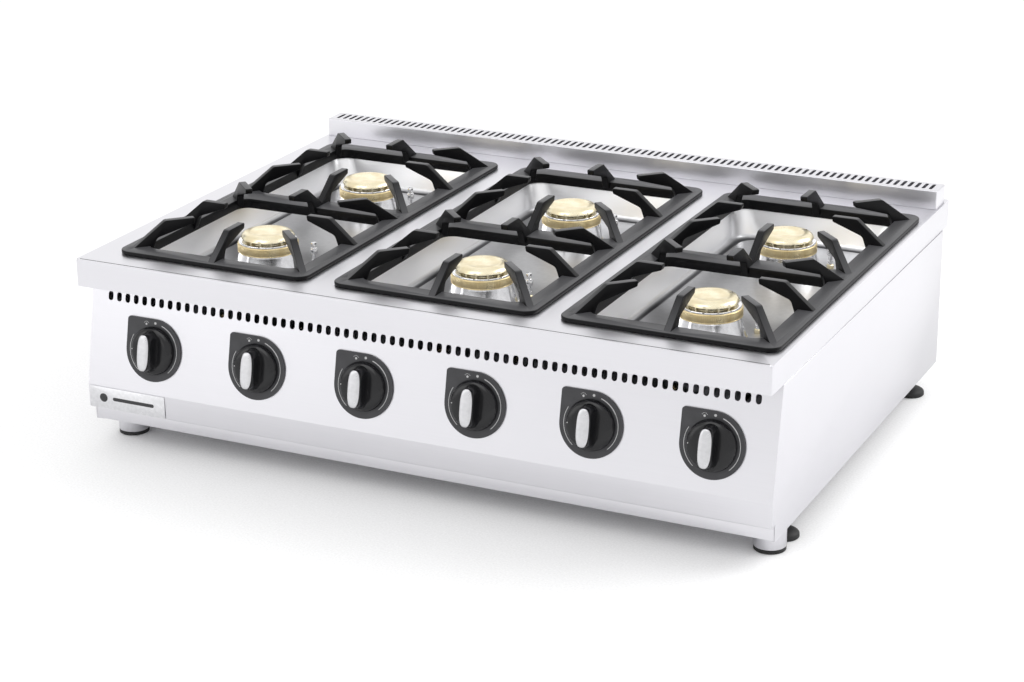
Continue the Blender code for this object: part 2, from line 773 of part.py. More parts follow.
def make_burner_cap(column, cell, surfaces):
    """Dished cap on a neck, with the ring of flame ports left open under its edge."""
    seat = CROWN_TOP_Z + 0.0010 + GAP
    profile = [
        (0, CAP_TOP_Z - 0.0018),
        (CAP_DISH_RADIUS - 0.004, CAP_TOP_Z - 0.0014),
        (CAP_DISH_RADIUS, CAP_TOP_Z),
        (CAP_RADIUS - 0.0080, CAP_TOP_Z - 0.0008),
        (CAP_RADIUS - 0.0030, CAP_TOP_Z - 0.0040),
        (CAP_RADIUS, CAP_Z + 0.0010),
        (CAP_RADIUS - 0.0004, CAP_Z),
        (CAP_NECK_RADIUS + 0.0010, CAP_Z),
        (CAP_NECK_RADIUS, seat),
        (CAP_SPIGOT_RADIUS, seat),
        (CAP_SPIGOT_RADIUS, CROWN_TOP_Z - 0.002),
        (0, CROWN_TOP_Z - 0.002),
    ]
    made = turned(f"burner_cap_{column}_{cell}", profile, surfaces["brass"])
    made.location = (COLUMN_X[column], CELL_Y[cell], 0)
    return made


# Controls


def make_bezel(index, surfaces):
    """Round plate behind the knob, with one square corner at its upper left."""
    points = []
    for step in range(BEZEL_ARC_STEPS + 1):
        angle = math.radians(180 + 270 * step / BEZEL_ARC_STEPS)
        points.append((BEZEL_RADIUS * math.cos(angle), BEZEL_RADIUS * math.sin(angle)))
    corner = BEZEL_CORNER_RADIUS
    for step in range(4):
        angle = math.radians(90 + 90 * step / 3)
        x = -BEZEL_RADIUS + corner + corner * math.cos(angle)
        y = BEZEL_RADIUS - corner + corner * math.sin(angle)
        points.append((x, y))
    mesh = bmesh.new()
    prism(mesh, points, GAP, BEZEL_TOP)
    bezel = object_from(mesh, f"knob_bezel_{index + 1}", surfaces["plate"])
    bezel.matrix_world = panel_matrix(knob_x(index))

    mesh = bmesh.new()
    tube_between(mesh, (0, 0, -OVERCUT), (0, 0, OVERCUT), SHAFT_HOLE_RADIUS)
    hole = cutter(f"cut_bezel_{index + 1}", mesh)
    hole.matrix_world = panel_matrix(knob_x(index))
    cut(bezel, hole)
    return bezel


def make_knob(index, surfaces):
    """Disc with a gripping blade in front and the tap's spindle behind, turning about the spindle."""
    profile = [
        (0, KNOB_SHOULDER),
        (KNOB_RADIUS - 0.010, KNOB_SHOULDER),
        (KNOB_RADIUS - 0.003, KNOB_SHOULDER - 0.0025),
        (KNOB_RADIUS, KNOB_BASE + 0.003),
        (KNOB_RADIUS, KNOB_BASE),
        (SHAFT_RADIUS, KNOB_BASE),
        (SHAFT_RADIUS, -SHAFT_DEPTH),
        (0, -SHAFT_DEPTH),
    ]
    knob = turned(f"knob_{index + 1}", profile, surfaces["knob"])
    knob.matrix_world = panel_matrix(knob_x(index))
    mesh = bmesh.new()
    outline = rounded_rectangle(*GRIP_HALF, GRIP_HALF[0] - 0.001, 4)
    prism(mesh, outline, KNOB_SHOULDER - 0.003, GRIP_TOP)
    grip = cutter(f"join_grip_{index + 1}", mesh)
    grip.matrix_world = panel_matrix(knob_x(index))
    join(knob, grip)
    return knob


def sweep(mesh, path, radius, segments=8):
    """Adds a mitred round tube along a path of straight runs."""
    path = [Vector(point) for point in path]
    directions = [(b - a).normalized() for a, b in zip(path, path[1:])]
    side = directions[0].orthogonal().normalized()
    rings = []
    for i, point in enumerate(path):
        before = directions[max(i - 1, 0)]
        after = directions[min(i, len(directions) - 1)]
        if i > 0:
            side = (side - side.dot(before) * before).normalized()
        up = before.cross(side)
        normal = (before + after).normalized()
        ring = []
        for k in range(segments):
            angle = 2 * math.pi * k / segments
            offset = radius * (math.cos(angle) * side + math.sin(angle) * up)
            offset -= before * offset.dot(normal) / before.dot(normal)
            ring.append(mesh.verts.new(point + offset))
        rings.append(ring)
        turn = before.rotation_difference(after)
        side = turn @ side
    for first, second in zip(rings, rings[1:]):
        for k in range(segments):
            j = (k + 1) % segments
            mesh.faces.new((first[k], first[j], second[j], second[k]))
    mesh.faces.new(rings[0][::-1])
    mesh.faces.new(rings[-1])


def make_tap(index, surfaces):
    """Gas tap on the manifold, with the pipe and injector that feed its burner."""
    column = list(COLUMN_X)[index // 2]
    cell = ("front", "rear")[index % 2]
    place = panel_matrix(knob_x(index))
    back = place @ Vector((0, 0, TAP_BACK))
    mesh = bmesh.new()
    tube_between(mesh, place @ Vector((0, 0, TAP_FRONT)), back, TAP_RADIUS)
    tap = object_from(mesh, f"gas_tap_{index + 1}", surfaces["tube"])
    smooth(tap)

    mesh = bmesh.new()
    stub_low = (back.x, MANIFOLD_Y, MANIFOLD_Z + MANIFOLD_RADIUS + GAP)
    stub_high = (back.x, MANIFOLD_Y, back.z + PIPE_SETBACK)
    tube_between(mesh, stub_low, stub_high, STUB_RADIUS, 8)
    join(tap, cutter(f"join_stub_{index + 1}", mesh))

    injector_end = CELL_Y[cell] - MIXER_LENGTH - INJECTOR_STANDOFF
    elbow_y = injector_end - PIPE_STRAIGHT
    column_x = COLUMN_X[column]
    pipe_y = MANIFOLD_Y - PIPE_SETBACK
    path = [(back.x, pipe_y, back.z), (back.x, pipe_y, PIPE_Z)]
    if cell == "rear":
        path += [(back.x, elbow_y, PIPE_Z), (column_x, elbow_y, PIPE_Z), (column_x, elbow_y, MIXER_Z)]
    else:
        path += [(column_x, pipe_y, PIPE_Z), (column_x, pipe_y, MIXER_Z)]
    path.append((column_x, injector_end, MIXER_Z))
    mesh = bmesh.new()
    sweep(mesh, path, TUBE_RADIUS, 6)
    join(tap, cutter(f"join_pipe_{index + 1}", mesh))
    mesh = bmesh.new()
    nozzle = injector_end - 0.002
    start, end = (column_x, nozzle - INJECTOR_LENGTH, MIXER_Z), (column_x, nozzle, MIXER_Z)
    tube_between(mesh, start, end, INJECTOR_RADIUS, 6)
    join(tap, cutter(f"join_injector_{index + 1}", mesh))
    mesh = bmesh.new()
    outer, inner = place @ Vector((0, 0, OVERCUT)), place @ Vector((0, 0, -SHAFT_DEPTH - 0.002))
    tube_between(mesh, outer, inner, SHAFT_RADIUS + SPINDLE_CLEARANCE, BURNER_SEGMENTS)
    cut(tap, cutter(f"cut_spindle_{index + 1}", mesh))
    return tap


def make_manifold(surfaces):
    """Gas rail behind the control panel, running back along the right side to the inlet."""
    path = [
        (MANIFOLD_START_X, MANIFOLD_Y, MANIFOLD_Z),
        (INLET_X, MANIFOLD_Y, MANIFOLD_Z),
        (INLET_X, BODY_BACK + MANIFOLD_REACH, MANIFOLD_Z),
    ]
    mesh = bmesh.new()
    sweep(mesh, path, MANIFOLD_RADIUS, 12)
    made = object_from(mesh, "gas_manifold", surfaces["tube"])
    smooth(made)
    return made


def make_inlet(surfaces):
    """Hexagon and threaded end of the gas inlet, behind the back panel."""
    start = BODY_BACK + MANIFOLD_REACH + GAP

    def at(reach):
        return (INLET_X, start + reach, MANIFOLD_Z)

    mesh = bmesh.new()
    tube_between(mesh, at(0), at(INLET_HEX_LENGTH), INLET_HEX_RADIUS, 6)
    made = object_from(mesh, "gas_inlet", surfaces["brass"])
    mesh = bmesh.new()
    tube_between(mesh, at(INLET_HEX_LENGTH - 0.002), at(INLET_LENGTH), INLET_THREAD_RADIUS, 16)
    join(made, cutter("join_inlet_thread", mesh))
    mesh = bmesh.new()
    tube_between(mesh, at(0.004), at(INLET_LENGTH + OVERCUT), INLET_BORE_RADIUS)
    cut(made, cutter("cut_inlet_bore", mesh))
    return made


# Feet


def make_steel_foot(side, surfaces):
    top = BASE_Z - GAP
    profile = [
        (0, top),
        (STEEL_FOOT_RADIUS, top),
        (STEEL_FOOT_RADIUS, STEEL_FOOT_STEP_Z),
        (STEEL_FOOT_RADIUS - 0.001, STEEL_FOOT_STEP_Z - 0.001),
        (STEEL_FOOT_RADIUS - 0.001, 0),
        (0, 0),
    ]
    made = turned(f"steel_foot_{side}", profile, surfaces["steel"], 20)
    made.location = ({"left": -1, "right": 1}[side] * STEEL_FOOT_X, STEEL_FOOT_Y, 0)
    return made


def make_levelling_foot(side, end, surfaces):
    """Domed rubber pad on a threaded stud."""
    top = BASE_Z - GAP
    profile = [
        (0, top),
        (LEVELLING_NUT_RADIUS, top),
        (LEVELLING_NUT_RADIUS, top - 0.006),
        (LEVELLING_STUD_RADIUS, top - 0.007),
        (LEVELLING_STUD_RADIUS, 0.0140),
        (0.0120, 0.0135),
        (LEVELLING_RADIUS, 0.0070),
        (LEVELLING_RADIUS, 0),
        (0, 0),
    ]
    made = turned(f"levelling_foot_{side}_{end}", profile, surfaces["rubber"], 14)
    made.location = ({"left": -1, "right": 1}[side] * LEVELLING_X, LEVELLING_Y[end], 0)
    return made


def build():
    clear_scene()
    surfaces = make_materials()
    make_worktop(surfaces)
    make_front_panel(surfaces)
    make_badge(surfaces)
    make_back_panel(surfaces)
    make_base_tray(surfaces)
    make_flue_riser(surfaces)
    for side in ("left", "right"):
        make_side_panel(side, surfaces)
        make_steel_foot(side, surfaces)
        for end in LEVELLING_Y:
            make_levelling_foot(side, end, surfaces)
    for column in COLUMN_X:
        make_well(column, surfaces)
        make_grate(column, surfaces)
        for cell in CELL_Y:
            make_burner_body(column, cell, surfaces)
            make_burner_crown(column, cell, surfaces)
            make_burner_cap(column, cell, surfaces)
    for index in range(KNOB_COUNT):
        make_bezel(index, surfaces)
        make_knob(index, surfaces)
        make_tap(index, surfaces)
    make_manifold(surfaces)
    make_inlet(surfaces)


build()
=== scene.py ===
"""The finished look of the six-burner countertop gas range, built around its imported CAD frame."""

import json
import math

import bmesh
import bpy
from mathutils import Matrix, Vector


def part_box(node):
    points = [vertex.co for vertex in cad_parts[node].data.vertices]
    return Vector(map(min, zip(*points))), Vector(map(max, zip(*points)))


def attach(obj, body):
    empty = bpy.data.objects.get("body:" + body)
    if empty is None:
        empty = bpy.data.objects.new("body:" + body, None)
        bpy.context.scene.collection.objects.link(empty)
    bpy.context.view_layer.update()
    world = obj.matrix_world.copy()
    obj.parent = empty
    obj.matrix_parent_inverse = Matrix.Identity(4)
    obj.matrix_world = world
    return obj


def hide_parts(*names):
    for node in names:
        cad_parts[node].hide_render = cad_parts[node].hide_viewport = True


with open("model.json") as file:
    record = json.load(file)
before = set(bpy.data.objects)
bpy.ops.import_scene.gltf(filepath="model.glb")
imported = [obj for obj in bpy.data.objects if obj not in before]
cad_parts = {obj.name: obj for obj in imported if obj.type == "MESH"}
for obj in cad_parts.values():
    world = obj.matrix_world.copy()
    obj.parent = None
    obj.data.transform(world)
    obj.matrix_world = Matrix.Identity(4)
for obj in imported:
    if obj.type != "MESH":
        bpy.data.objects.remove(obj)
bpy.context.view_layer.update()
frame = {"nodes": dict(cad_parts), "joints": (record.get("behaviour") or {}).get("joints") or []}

COLUMNS = ("left", "middle", "right")
CELLS = ("front", "rear")
JOINTS = {joint["name"]: joint for joint in frame["joints"]}
KNOBS = [name for name in JOINTS if name.startswith("knob_")]

# Places read from the frame
TOP_LOW, TOP_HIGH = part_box("worktop")
FRONT, BACK = TOP_LOW.y, TOP_HIGH.y
LIP_Z, TOP_Z = TOP_LOW.z, TOP_HIGH.z
BASE_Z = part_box("side_panel_right")[0].z
BODY_HALF_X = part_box("side_panel_right")[1].x
GAP = 0.0003
SHEET = 0.0015

# Shapes that the frame's boxes don't tell, in metres
OVERCUT = 0.01
LIP_RETURN = 0.014
FLUE_END_MARGIN = 0.016
FLUE_SIDE_MARGIN = 0.008
SEAM_END_MARGIN = 0.006
SEAM_SETBACKS = (0.0036, 0.0060)
SEAM_DEPTH = 0.0006
WELL_FLANGE = 0.012
WELL_FLOOR_INSET = (0.029, 0.028)
WELL_FLOOR_Z = 0.2725
WELL_CHANNEL = 0.0030
BURNER_HOLE = 0.044
SPINDLE_HOLE = 0.008
PANEL_TOP = (FRONT + 0.0560, 0.324)
PANEL_KNEE = (FRONT + 0.0146, 0.108)
BAND_BOTTOM = (FRONT + 0.0152, 0.068)
FRONT_SLOTS = 70
FRONT_SLOT_SPAN = 1.128
FRONT_SLOT_HALF = (0.00465, 0.00775)
FRONT_SLOT_Z = 0.2585
RIM_TOLERANCE = 0.00001
RISER_SLOTS = 92
RISER_SLOT_SPAN = 1.160
RISER_SLOT_HALF = (0.0031, 0.0155)
GRATE_BAR = 0.034
GRATE_THICKNESS = 0.0065
GRATE_SKIRT = 0.0048
PRONG_KNEE_Z = 0.349
PRONG_HALF_THICKNESS = 0.006
THROAT_BOTTOM = 0.2170
CROWN_SIDE = 0.0500
GROOVES = 110
GROOVE_DEPTH = 0.00035
PORT_LUGS = 14
LUG_CENTRE = 0.0378
PILOT_OFFSET = (0.064, 0.040)
BEZEL_RADIUS = 0.052
BEZEL_CORNER = 0.006
BEZEL_FACE = 0.0030
DOT_RING = (-0.0155, 0.0425)
PRINT_THICKNESS = 0.00015
BLADE_ROUNDNESS = 0.97
PAD_SQUARENESS = 0.72
STUD_TURNS = 14
STUD_PITCH = 0.0012


def middle(node):
    low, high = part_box(node)
    return (low + high) / 2


COLUMN_X = {column: middle(f"grate_{column}").x for column in COLUMNS}
COLUMN_Y = middle("grate_left").y
BURNERS = {
    (column, cell): middle(f"burner_crown_{column}_{cell}").xy
    for column in COLUMNS
    for cell in CELLS
}
CELL_OFFSET = BURNERS["left", "rear"].y - COLUMN_Y


# Materials

STEEL = (0.675, 0.670, 0.700)
STEEL_ROUGHNESS = 0.32


class Nodes:
    """Short names for building one material's node tree."""

    def __init__(self, name, colour, roughness, metallic):
        self.material = bpy.data.materials.new(name)
        self.material.use_nodes = True
        self.tree = self.material.node_tree
        self.shader = self.tree.nodes["Principled BSDF"]
        self.shader.inputs["Base Color"].default_value = (*colour, 1)
        self.shader.inputs["Roughness"].default_value = roughness
        self.shader.inputs["Metallic"].default_value = metallic
        self.place = self.add("ShaderNodeTexCoord").outputs["Object"]

    def add(self, kind, **inputs):
        node = self.tree.nodes.new(kind)
        for name, value in inputs.items():
            self.feed(node.inputs[name.replace("_", " ")], value)
        return node

    def feed(self, socket, value):
        if isinstance(value, bpy.types.NodeSocket):
            self.tree.links.new(value, socket)
        else:
            socket.default_value = value

    def set(self, name, value):
        """Sets one of the shader's inputs, to a value or to another node's result."""
        self.feed(self.shader.inputs[name], value)

    def noise(self, scale, stretch=(1, 1, 1), detail=3.0):
        mapping = self.add("ShaderNodeMapping", Vector=self.place, Scale=stretch)
        place = mapping.outputs[0]
        return self.add("ShaderNodeTexNoise", Vector=place, Scale=scale, Detail=detail).outputs[0]

    def spread(self, value, low, high, start=0.3, end=0.7):
        """Maps value from start..end to low..high."""
        node = self.add("ShaderNodeMapRange", Value=value)
        node.inputs["From Min"].default_value = start
        node.inputs["From Max"].default_value = end
        node.inputs["To Min"].default_value = low
        node.inputs["To Max"].default_value = high
        return node.outputs[0]

    def blend(self, share, first, second):
        """Mixes two colours, each a triple or another node's colour."""
        node = self.add("ShaderNodeMix")
        node.data_type = "RGBA"
        self.feed(node.inputs[0], share)
        for socket, colour in ((node.inputs[6], first), (node.inputs[7], second)):
            if not isinstance(colour, bpy.types.NodeSocket):
                colour = (*colour, 1)
            self.feed(socket, colour)
        return node.outputs[2]

    def bump(self, height, strength, distance):
        node = self.add("ShaderNodeBump", Height=height)
        node.inputs["Strength"].default_value = strength
        node.inputs["Distance"].default_value = distance
        self.tree.links.new(node.outputs[0], self.shader.inputs["Normal"])


def brushed(name, along):
    """Stainless sheet with fine grinding lines along one axis."""
    colour, roughness = STEEL, STEEL_ROUGHNESS
    nodes = Nodes(name, colour, roughness, 1.0)
    stretch = [1.0, 1.0, 1.0]
    stretch["XYZ".index(along)] = 0.006
    lines = nodes.noise(900, stretch, 2.0)
    smears = nodes.noise(5, detail=2.0)
    tone = nodes.add("ShaderNodeMath", Value=lines)
    tone.operation = "ADD"
    nodes.tree.links.new(smears, tone.inputs[1])
    share = nodes.spread(tone.outputs[0], 0, 1, 0.7, 1.3)
    darker = [0.97 * part for part in colour]
    nodes.set("Base Color", nodes.blend(share, darker, colour))
    nodes.set("Roughness", nodes.spread(lines, roughness - 0.03, roughness + 0.03))
    nodes.bump(lines, 0.06, 0.00004)
    return nodes.material


def polished(name, colour, roughness, waviness):
    """Pressed or turned metal, bright, with slight waves and faint wear."""
    nodes = Nodes(name, colour, roughness, 1.0)
    waves = nodes.noise(18, detail=1.0)
    wear = nodes.noise(160, detail=4.0)
    darker = [0.88 * part for part in colour]
    nodes.set("Base Color", nodes.blend(nodes.spread(wear, 0, 1), colour, darker))
    nodes.set("Roughness", nodes.spread(wear, roughness - 0.03, roughness + 0.05))
    nodes.bump(waves, waviness, 0.0006)
    return nodes.material


def cast_iron():
    """Enamelled casting: satin black with a fine sandy surface, and painted sheen: lighter grey
    where it faces up.
    """
    nodes = Nodes("cast_iron_enamel", (0.003, 0.003, 0.0034), 0.34, 0.0)
    nodes.set("Specular IOR Level", 0.16)
    normal = nodes.add("ShaderNodeTexCoord").outputs["Normal"]
    facing_up = nodes.add("ShaderNodeSeparateXYZ", Vector=normal).outputs[2]
    # Painted sheen: faces that point up get a lighter grey base colour, standing in for the light
    # the tops catch.
    sheen_share = nodes.spread(facing_up, 0, 1, 0.75, 0.98)
    sand = nodes.noise(700, detail=4.0)
    patches = nodes.noise(14)
    patchy = nodes.spread(patches, 0, 1)
    enamel = nodes.blend(patchy, (0.002, 0.002, 0.0024), (0.004, 0.004, 0.0046))
    painted_sheen_grey = nodes.blend(patchy, (0.056, 0.056, 0.059), (0.068, 0.068, 0.072))
    nodes.set("Base Color", nodes.blend(sheen_share, enamel, painted_sheen_grey))
    nodes.set("Roughness", nodes.spread(patches, 0.30, 0.38))
    nodes.bump(sand, 0.12, 0.00015)
    return nodes.material


def pan_steel():
    """Pressed stainless: bright walls, a darker floor and a channel darkened with painted shade."""
    nodes = Nodes("pressed_stainless", (0.78, 0.78, 0.79), 0.24, 1.0)
    height = nodes.add("ShaderNodeSeparateXYZ", Vector=nodes.place).outputs[2]
    wear = nodes.noise(120, detail=4.0)
    up_wall = nodes.spread(height, 0, 1, WELL_FLOOR_Z + 0.001, WELL_FLOOR_Z + 0.006)
    # Painted shade: the channel round the floor is coloured near black, standing in for the shade
    # inside the groove.
    channel_shade_share = nodes.spread(height, 1, 0, WELL_FLOOR_Z - WELL_CHANNEL, WELL_FLOOR_Z - 0.0004)
    floor_tone = nodes.blend(nodes.spread(wear, 0, 1), (0.50, 0.50, 0.51), (0.45, 0.45, 0.46))
    tone = nodes.blend(up_wall, floor_tone, (0.90, 0.90, 0.915))
    tone = nodes.blend(channel_shade_share, tone, (0.05, 0.05, 0.055))
    nodes.set("Base Color", tone)
    nodes.set("Roughness", nodes.spread(up_wall, 0.34, 0.32, 0, 1))
    nodes.bump(nodes.noise(18, detail=1.0), 0.20, 0.0006)
    return nodes.material


def brass(name, colour, roughness):
    """Turned brass with fine rings and slight tarnish."""
    nodes = Nodes(name, colour, roughness, 1.0)
    rings = nodes.noise(1500, (0.02, 0.02, 1), 2.0)
    tarnish = nodes.noise(45, detail=4.0)
    darker = (0.80 * colour[0], 0.74 * colour[1], 0.62 * colour[2])
    nodes.set("Base Color", nodes.blend(nodes.spread(tarnish, 0, 1), colour, darker))
    nodes.set("Roughness", nodes.spread(tarnish, roughness, roughness + 0.10))
    nodes.bump(rings, 0.15, 0.00008)
    return nodes.material


def plastic(name, colour, roughness, grain_scale, grain_strength):
    """Moulded plastic with a fine grain."""
    nodes = Nodes(name, colour, roughness, 0.0)
    nodes.set("Specular IOR Level", 0.36)
    grain = nodes.noise(grain_scale)
    cloud = nodes.noise(60, detail=2.0)
    lighter = [1.25 * part for part in colour]
    nodes.set("Base Color", nodes.blend(nodes.spread(cloud, 0, 1), colour, lighter))
    nodes.set("Roughness", nodes.spread(grain, roughness - 0.04, roughness + 0.06))
    nodes.bump(grain, grain_strength, 0.00008)
    return nodes.material


def painted(name, colour, roughness):
    nodes = Nodes(name, colour, roughness, 0.0)
    cloud = nodes.noise(300)
    darker = [0.9 * part for part in colour]
    nodes.set("Base Color", nodes.blend(nodes.spread(cloud, 0, 1), colour, darker))
    nodes.set("Roughness", nodes.spread(cloud, roughness - 0.04, roughness + 0.04))
    nodes.bump(cloud, 0.10, 0.00004)
    return nodes.material


def galvanised():
    """Zinc-coated sheet with crystal patches."""
    nodes = Nodes("galvanised_sheet", (0.56, 0.58, 0.60), 0.42, 1.0)
    cells = nodes.add("ShaderNodeTexVoronoi", Vector=nodes.place, Scale=90.0)
    share = nodes.spread(cells.outputs["Color"], 0, 1, 0.2, 0.8)
    colour = nodes.blend(share, (0.50, 0.52, 0.54), (0.64, 0.66, 0.68))
    nodes.set("Base Color", colour)
    nodes.set("Roughness", nodes.spread(share, 0.36, 0.50, 0, 1))
    nodes.bump(cells.outputs["Distance"], 0.08, 0.0002)
    return nodes.material


MATERIALS = {
    "steel_x": brushed("stainless_along_x", "X"),
    "steel_y": brushed("stainless_along_y", "Y"),
    "well": pan_steel(),
    "bright": polished("machined_aluminium", (0.86, 0.86, 0.87), 0.14, 0.1),
    "zinc": galvanised(),
    "iron": cast_iron(),
    "brass": brass("crown_brass", (0.84, 0.71, 0.43), 0.26),
    "pale_brass": brass("cap_brass", (0.93, 0.86, 0.65), 0.25),
    "bezel": plastic("bezel_plastic", (0.030, 0.030, 0.033), 0.42, 900, 0.20),
    "knob": plastic("knob_plastic", (0.006, 0.006, 0.007), 0.16, 500, 0.04),
    "pad": polished("silver_pad", (0.60, 0.60, 0.615), 0.30, 0.02),
    "print": painted("white_print", (0.50, 0.50, 0.50), 0.5),
    "dark_print": painted("dark_print", (0.02, 0.02, 0.022), 0.4),
    "tube": brass("tube_metal", (0.62, 0.55, 0.42), 0.32),
    "rubber": plastic("moulded_rubber", (0.012, 0.012, 0.012), 0.55, 700, 0.35),
    "badge": polished("badge_metal", (0.72, 0.72, 0.74), 0.30, 0.05),
    # Painted shade: near-black colour for the strip in the worktop's seam groove, standing in for
    # the groove's shade.
    "seam_shade": painted("grey_sealant", (0.02, 0.02, 0.022), 0.6),
    "floor": painted("studio_paper", (0.94, 0.94, 0.94), 0.8),
}


# Mesh helpers


def smooth(piece, angle=32.0):
    for face in piece.data.polygons:
        face.use_smooth = True
    piece.data.set_sharp_from_angle(angle=math.radians(angle))


def object_from(mesh, name, surface):
    bmesh.ops.recalc_face_normals(mesh, faces=mesh.faces)
    data = bpy.data.meshes.new(name)
    mesh.to_mesh(data)
    mesh.free()
    piece = bpy.data.objects.new(name, data)
    bpy.context.scene.collection.objects.link(piece)
    if surface:
        piece.data.materials.append(MATERIALS[surface])
    return piece


def applied(piece):
    """Turns the piece's modifiers into plain mesh."""
    bpy.context.view_layer.update()
    graph = bpy.context.evaluated_depsgraph_get()
    data = bpy.data.meshes.new_from_object(piece.evaluated_get(graph), depsgraph=graph)
    piece.modifiers.clear()
    piece.data = data
    return piece


def combined(piece, operation, *tools):
    """Applies EXACT Booleans and removes the tools."""
    for tool in tools:
        modifier = piece.modifiers.new(tool.name, "BOOLEAN")
        modifier.object = tool
        modifier.operation = operation
        modifier.solver = "EXACT"
    applied(piece)
    for tool in tools:
        bpy.data.objects.remove(tool)
    return piece


def cut(piece, *tools):
    return combined(piece, "DIFFERENCE", *tools)


def join(piece, *tools):
    return combined(piece, "UNION", *tools)


def bevelled(piece, width, segments=3, angle=30.0):
    modifier = piece.modifiers.new("edges", "BEVEL")
    modifier.width = width
    modifier.segments = segments
    modifier.limit_method = "ANGLE"
    modifier.angle_limit = math.radians(angle)
    modifier.harden_normals = False
    applied(piece)
    smooth(piece)
    return piece


def twin_of(piece, name):
    """Another object with the same mesh."""
    twin = bpy.data.objects.new(name, piece.data)
    bpy.context.scene.collection.objects.link(twin)
    return twin


def across_columns(first, stem):
    """Puts the first piece in the left column and twins in the others, by column."""
    pieces = {"left": first}
    for column in ("middle", "right"):
        pieces[column] = twin_of(first, f"{stem}_{column}")
    for column, piece in pieces.items():
        piece.location = (COLUMN_X[column], COLUMN_Y, 0)
    return pieces


def settle(piece, body, slot, *nodes):
    """The piece rides on a body and stands for the given CAD nodes. The slot is not used."""
    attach(piece, body)
    if nodes:
        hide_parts(*nodes)
    return piece


def arc(centre, radius, start, end, steps):
    """Points on an arc, with angles in degrees."""
    points = []
    for i in range(steps + 1):
        turn = math.radians(start + (end - start) * i / steps)
        reach = radius * math.cos(turn), radius * math.sin(turn)
        points.append((centre[0] + reach[0], centre[1] + reach[1]))
    return points


def rounded_rectangle(half_x, half_y, radius, steps=8):
    points = []
    for quarter, (sx, sy) in enumerate(((1, 1), (-1, 1), (-1, -1), (1, -1))):
        corner = (sx * (half_x - radius), sy * (half_y - radius))
        points += arc(corner, radius, 90 * quarter, 90 * quarter + 90, steps)
    return points


def rounded_corners(points, radii, steps=5):
    """An outline with each corner rounded to its own radius."""
    result = []
    count = len(points)
    for i, point in enumerate(points):
        here = Vector(point)
        before = Vector(points[i - 1]) - here
        after = Vector(points[(i + 1) % count]) - here
        if radii[i] <= 0:
            result.append(tuple(here))
            continue
        half = before.angle(after) / 2
        reach = radii[i] / math.tan(half)
        inward = (before.normalized() + after.normalized()).normalized()
        centre = here + inward * radii[i] / math.sin(half)
        start = here + before.normalized() * reach - centre
        end = here + after.normalized() * reach - centre
        sweep = start.angle_signed(end)
        for k in range(steps + 1):
            result.append(tuple(centre + Matrix.Rotation(-sweep * k / steps, 2) @ start))
    return result


def shifted(points, offset):
    return [(x + offset[0], y + offset[1]) for x, y in points]


def prism(mesh, points, low, high):
    """Adds an upright prism, and returns its vertices."""
    bottom = [mesh.verts.new((x, y, low)) for x, y in points]
    top = [mesh.verts.new((x, y, high)) for x, y in points]
    mesh.faces.new(bottom[::-1])
    mesh.faces.new(top)
    for i in range(len(points)):
        j = (i + 1) % len(points)
        mesh.faces.new((bottom[i], bottom[j], top[j], top[i]))
    return bottom + top


def loft(mesh, loops, cap_ends=True):
    """Joins loops of equally many points by quads."""
    rings = [[mesh.verts.new(point) for point in loop] for loop in loops]
    count = len(rings[0])
    for first, second in zip(rings, rings[1:]):
        for i in range(count):
            j = (i + 1) % count
            mesh.faces.new((first[i], first[j], second[j], second[i]))
    if cap_ends:
        mesh.faces.new(rings[0])
        mesh.faces.new(rings[-1])


def lathe(mesh, profile, segments=96, radius_of=None):
    """Turns an outline of (radius, z) points about +Z. radius_of changes radii by angle."""
    rings = []
    for radius, z in profile:
        ring = []
        for i in range(1 if radius == 0 else segments):
            angle = 2 * math.pi * i / segments
            r = radius_of(radius, z, angle) if radius_of else radius
            ring.append(mesh.verts.new((r * math.cos(angle), r * math.sin(angle), z)))
        rings.append(ring)
    pairs = list(zip(rings, rings[1:]))
    if profile[0][0] > 0:
        pairs.append((rings[-1], rings[0]))
    for upper, lower in pairs:
        for i in range(0 if len(upper) == len(lower) == 1 else segments):
            j = (i + 1) % segments
            if len(upper) == 1:
                mesh.faces.new((upper[0], lower[i], lower[j]))
            elif len(lower) == 1:
                mesh.faces.new((upper[i], lower[0], upper[j]))
            else:
                mesh.faces.new((upper[i], lower[i], lower[j], upper[j]))


def turned(name, profile, surface, segments=96, radius_of=None, angle=32.0):
    mesh = bmesh.new()
    lathe(mesh, profile, segments, radius_of)
    piece = object_from(mesh, name, surface)
    smooth(piece, angle)
    return piece


def round_rim(mesh, height, width, segments):
    """Rounds the edges that lie at the top of an upright mesh."""
    top = height - RIM_TOLERANCE
    rim = [edge for edge in mesh.edges if all(vert.co.z > top for vert in edge.verts)]
    bmesh.ops.bevel(
        mesh, geom=rim, offset=width, segments=segments, affect="EDGES", profile=0.5
    )


def tool_prism(points, low, high):
    mesh = bmesh.new()
    prism(mesh, points, low, high)
    return object_from(mesh, "tool", None)


def dressed(node, width, segments, surface, slot, body="range"):
    """A copy of a CAD node's mesh with its edges rounded."""
    data = frame["nodes"][node].data.copy()
    data.materials.clear()
    piece = bpy.data.objects.new(f"look_{node}", data)
    bpy.context.scene.collection.objects.link(piece)
    data.materials.append(MATERIALS[surface])
    mesh = bmesh.new()
    mesh.from_mesh(data)
    bmesh.ops.remove_doubles(mesh, verts=mesh.verts, dist=0.00001)
    bmesh.ops.dissolve_limit(
        mesh, angle_limit=math.radians(1), verts=mesh.verts, edges=mesh.edges
    )
    mesh.to_mesh(data)
    mesh.free()
    bevelled(piece, width, segments)
    return settle(piece, body, slot, node)


# Casing


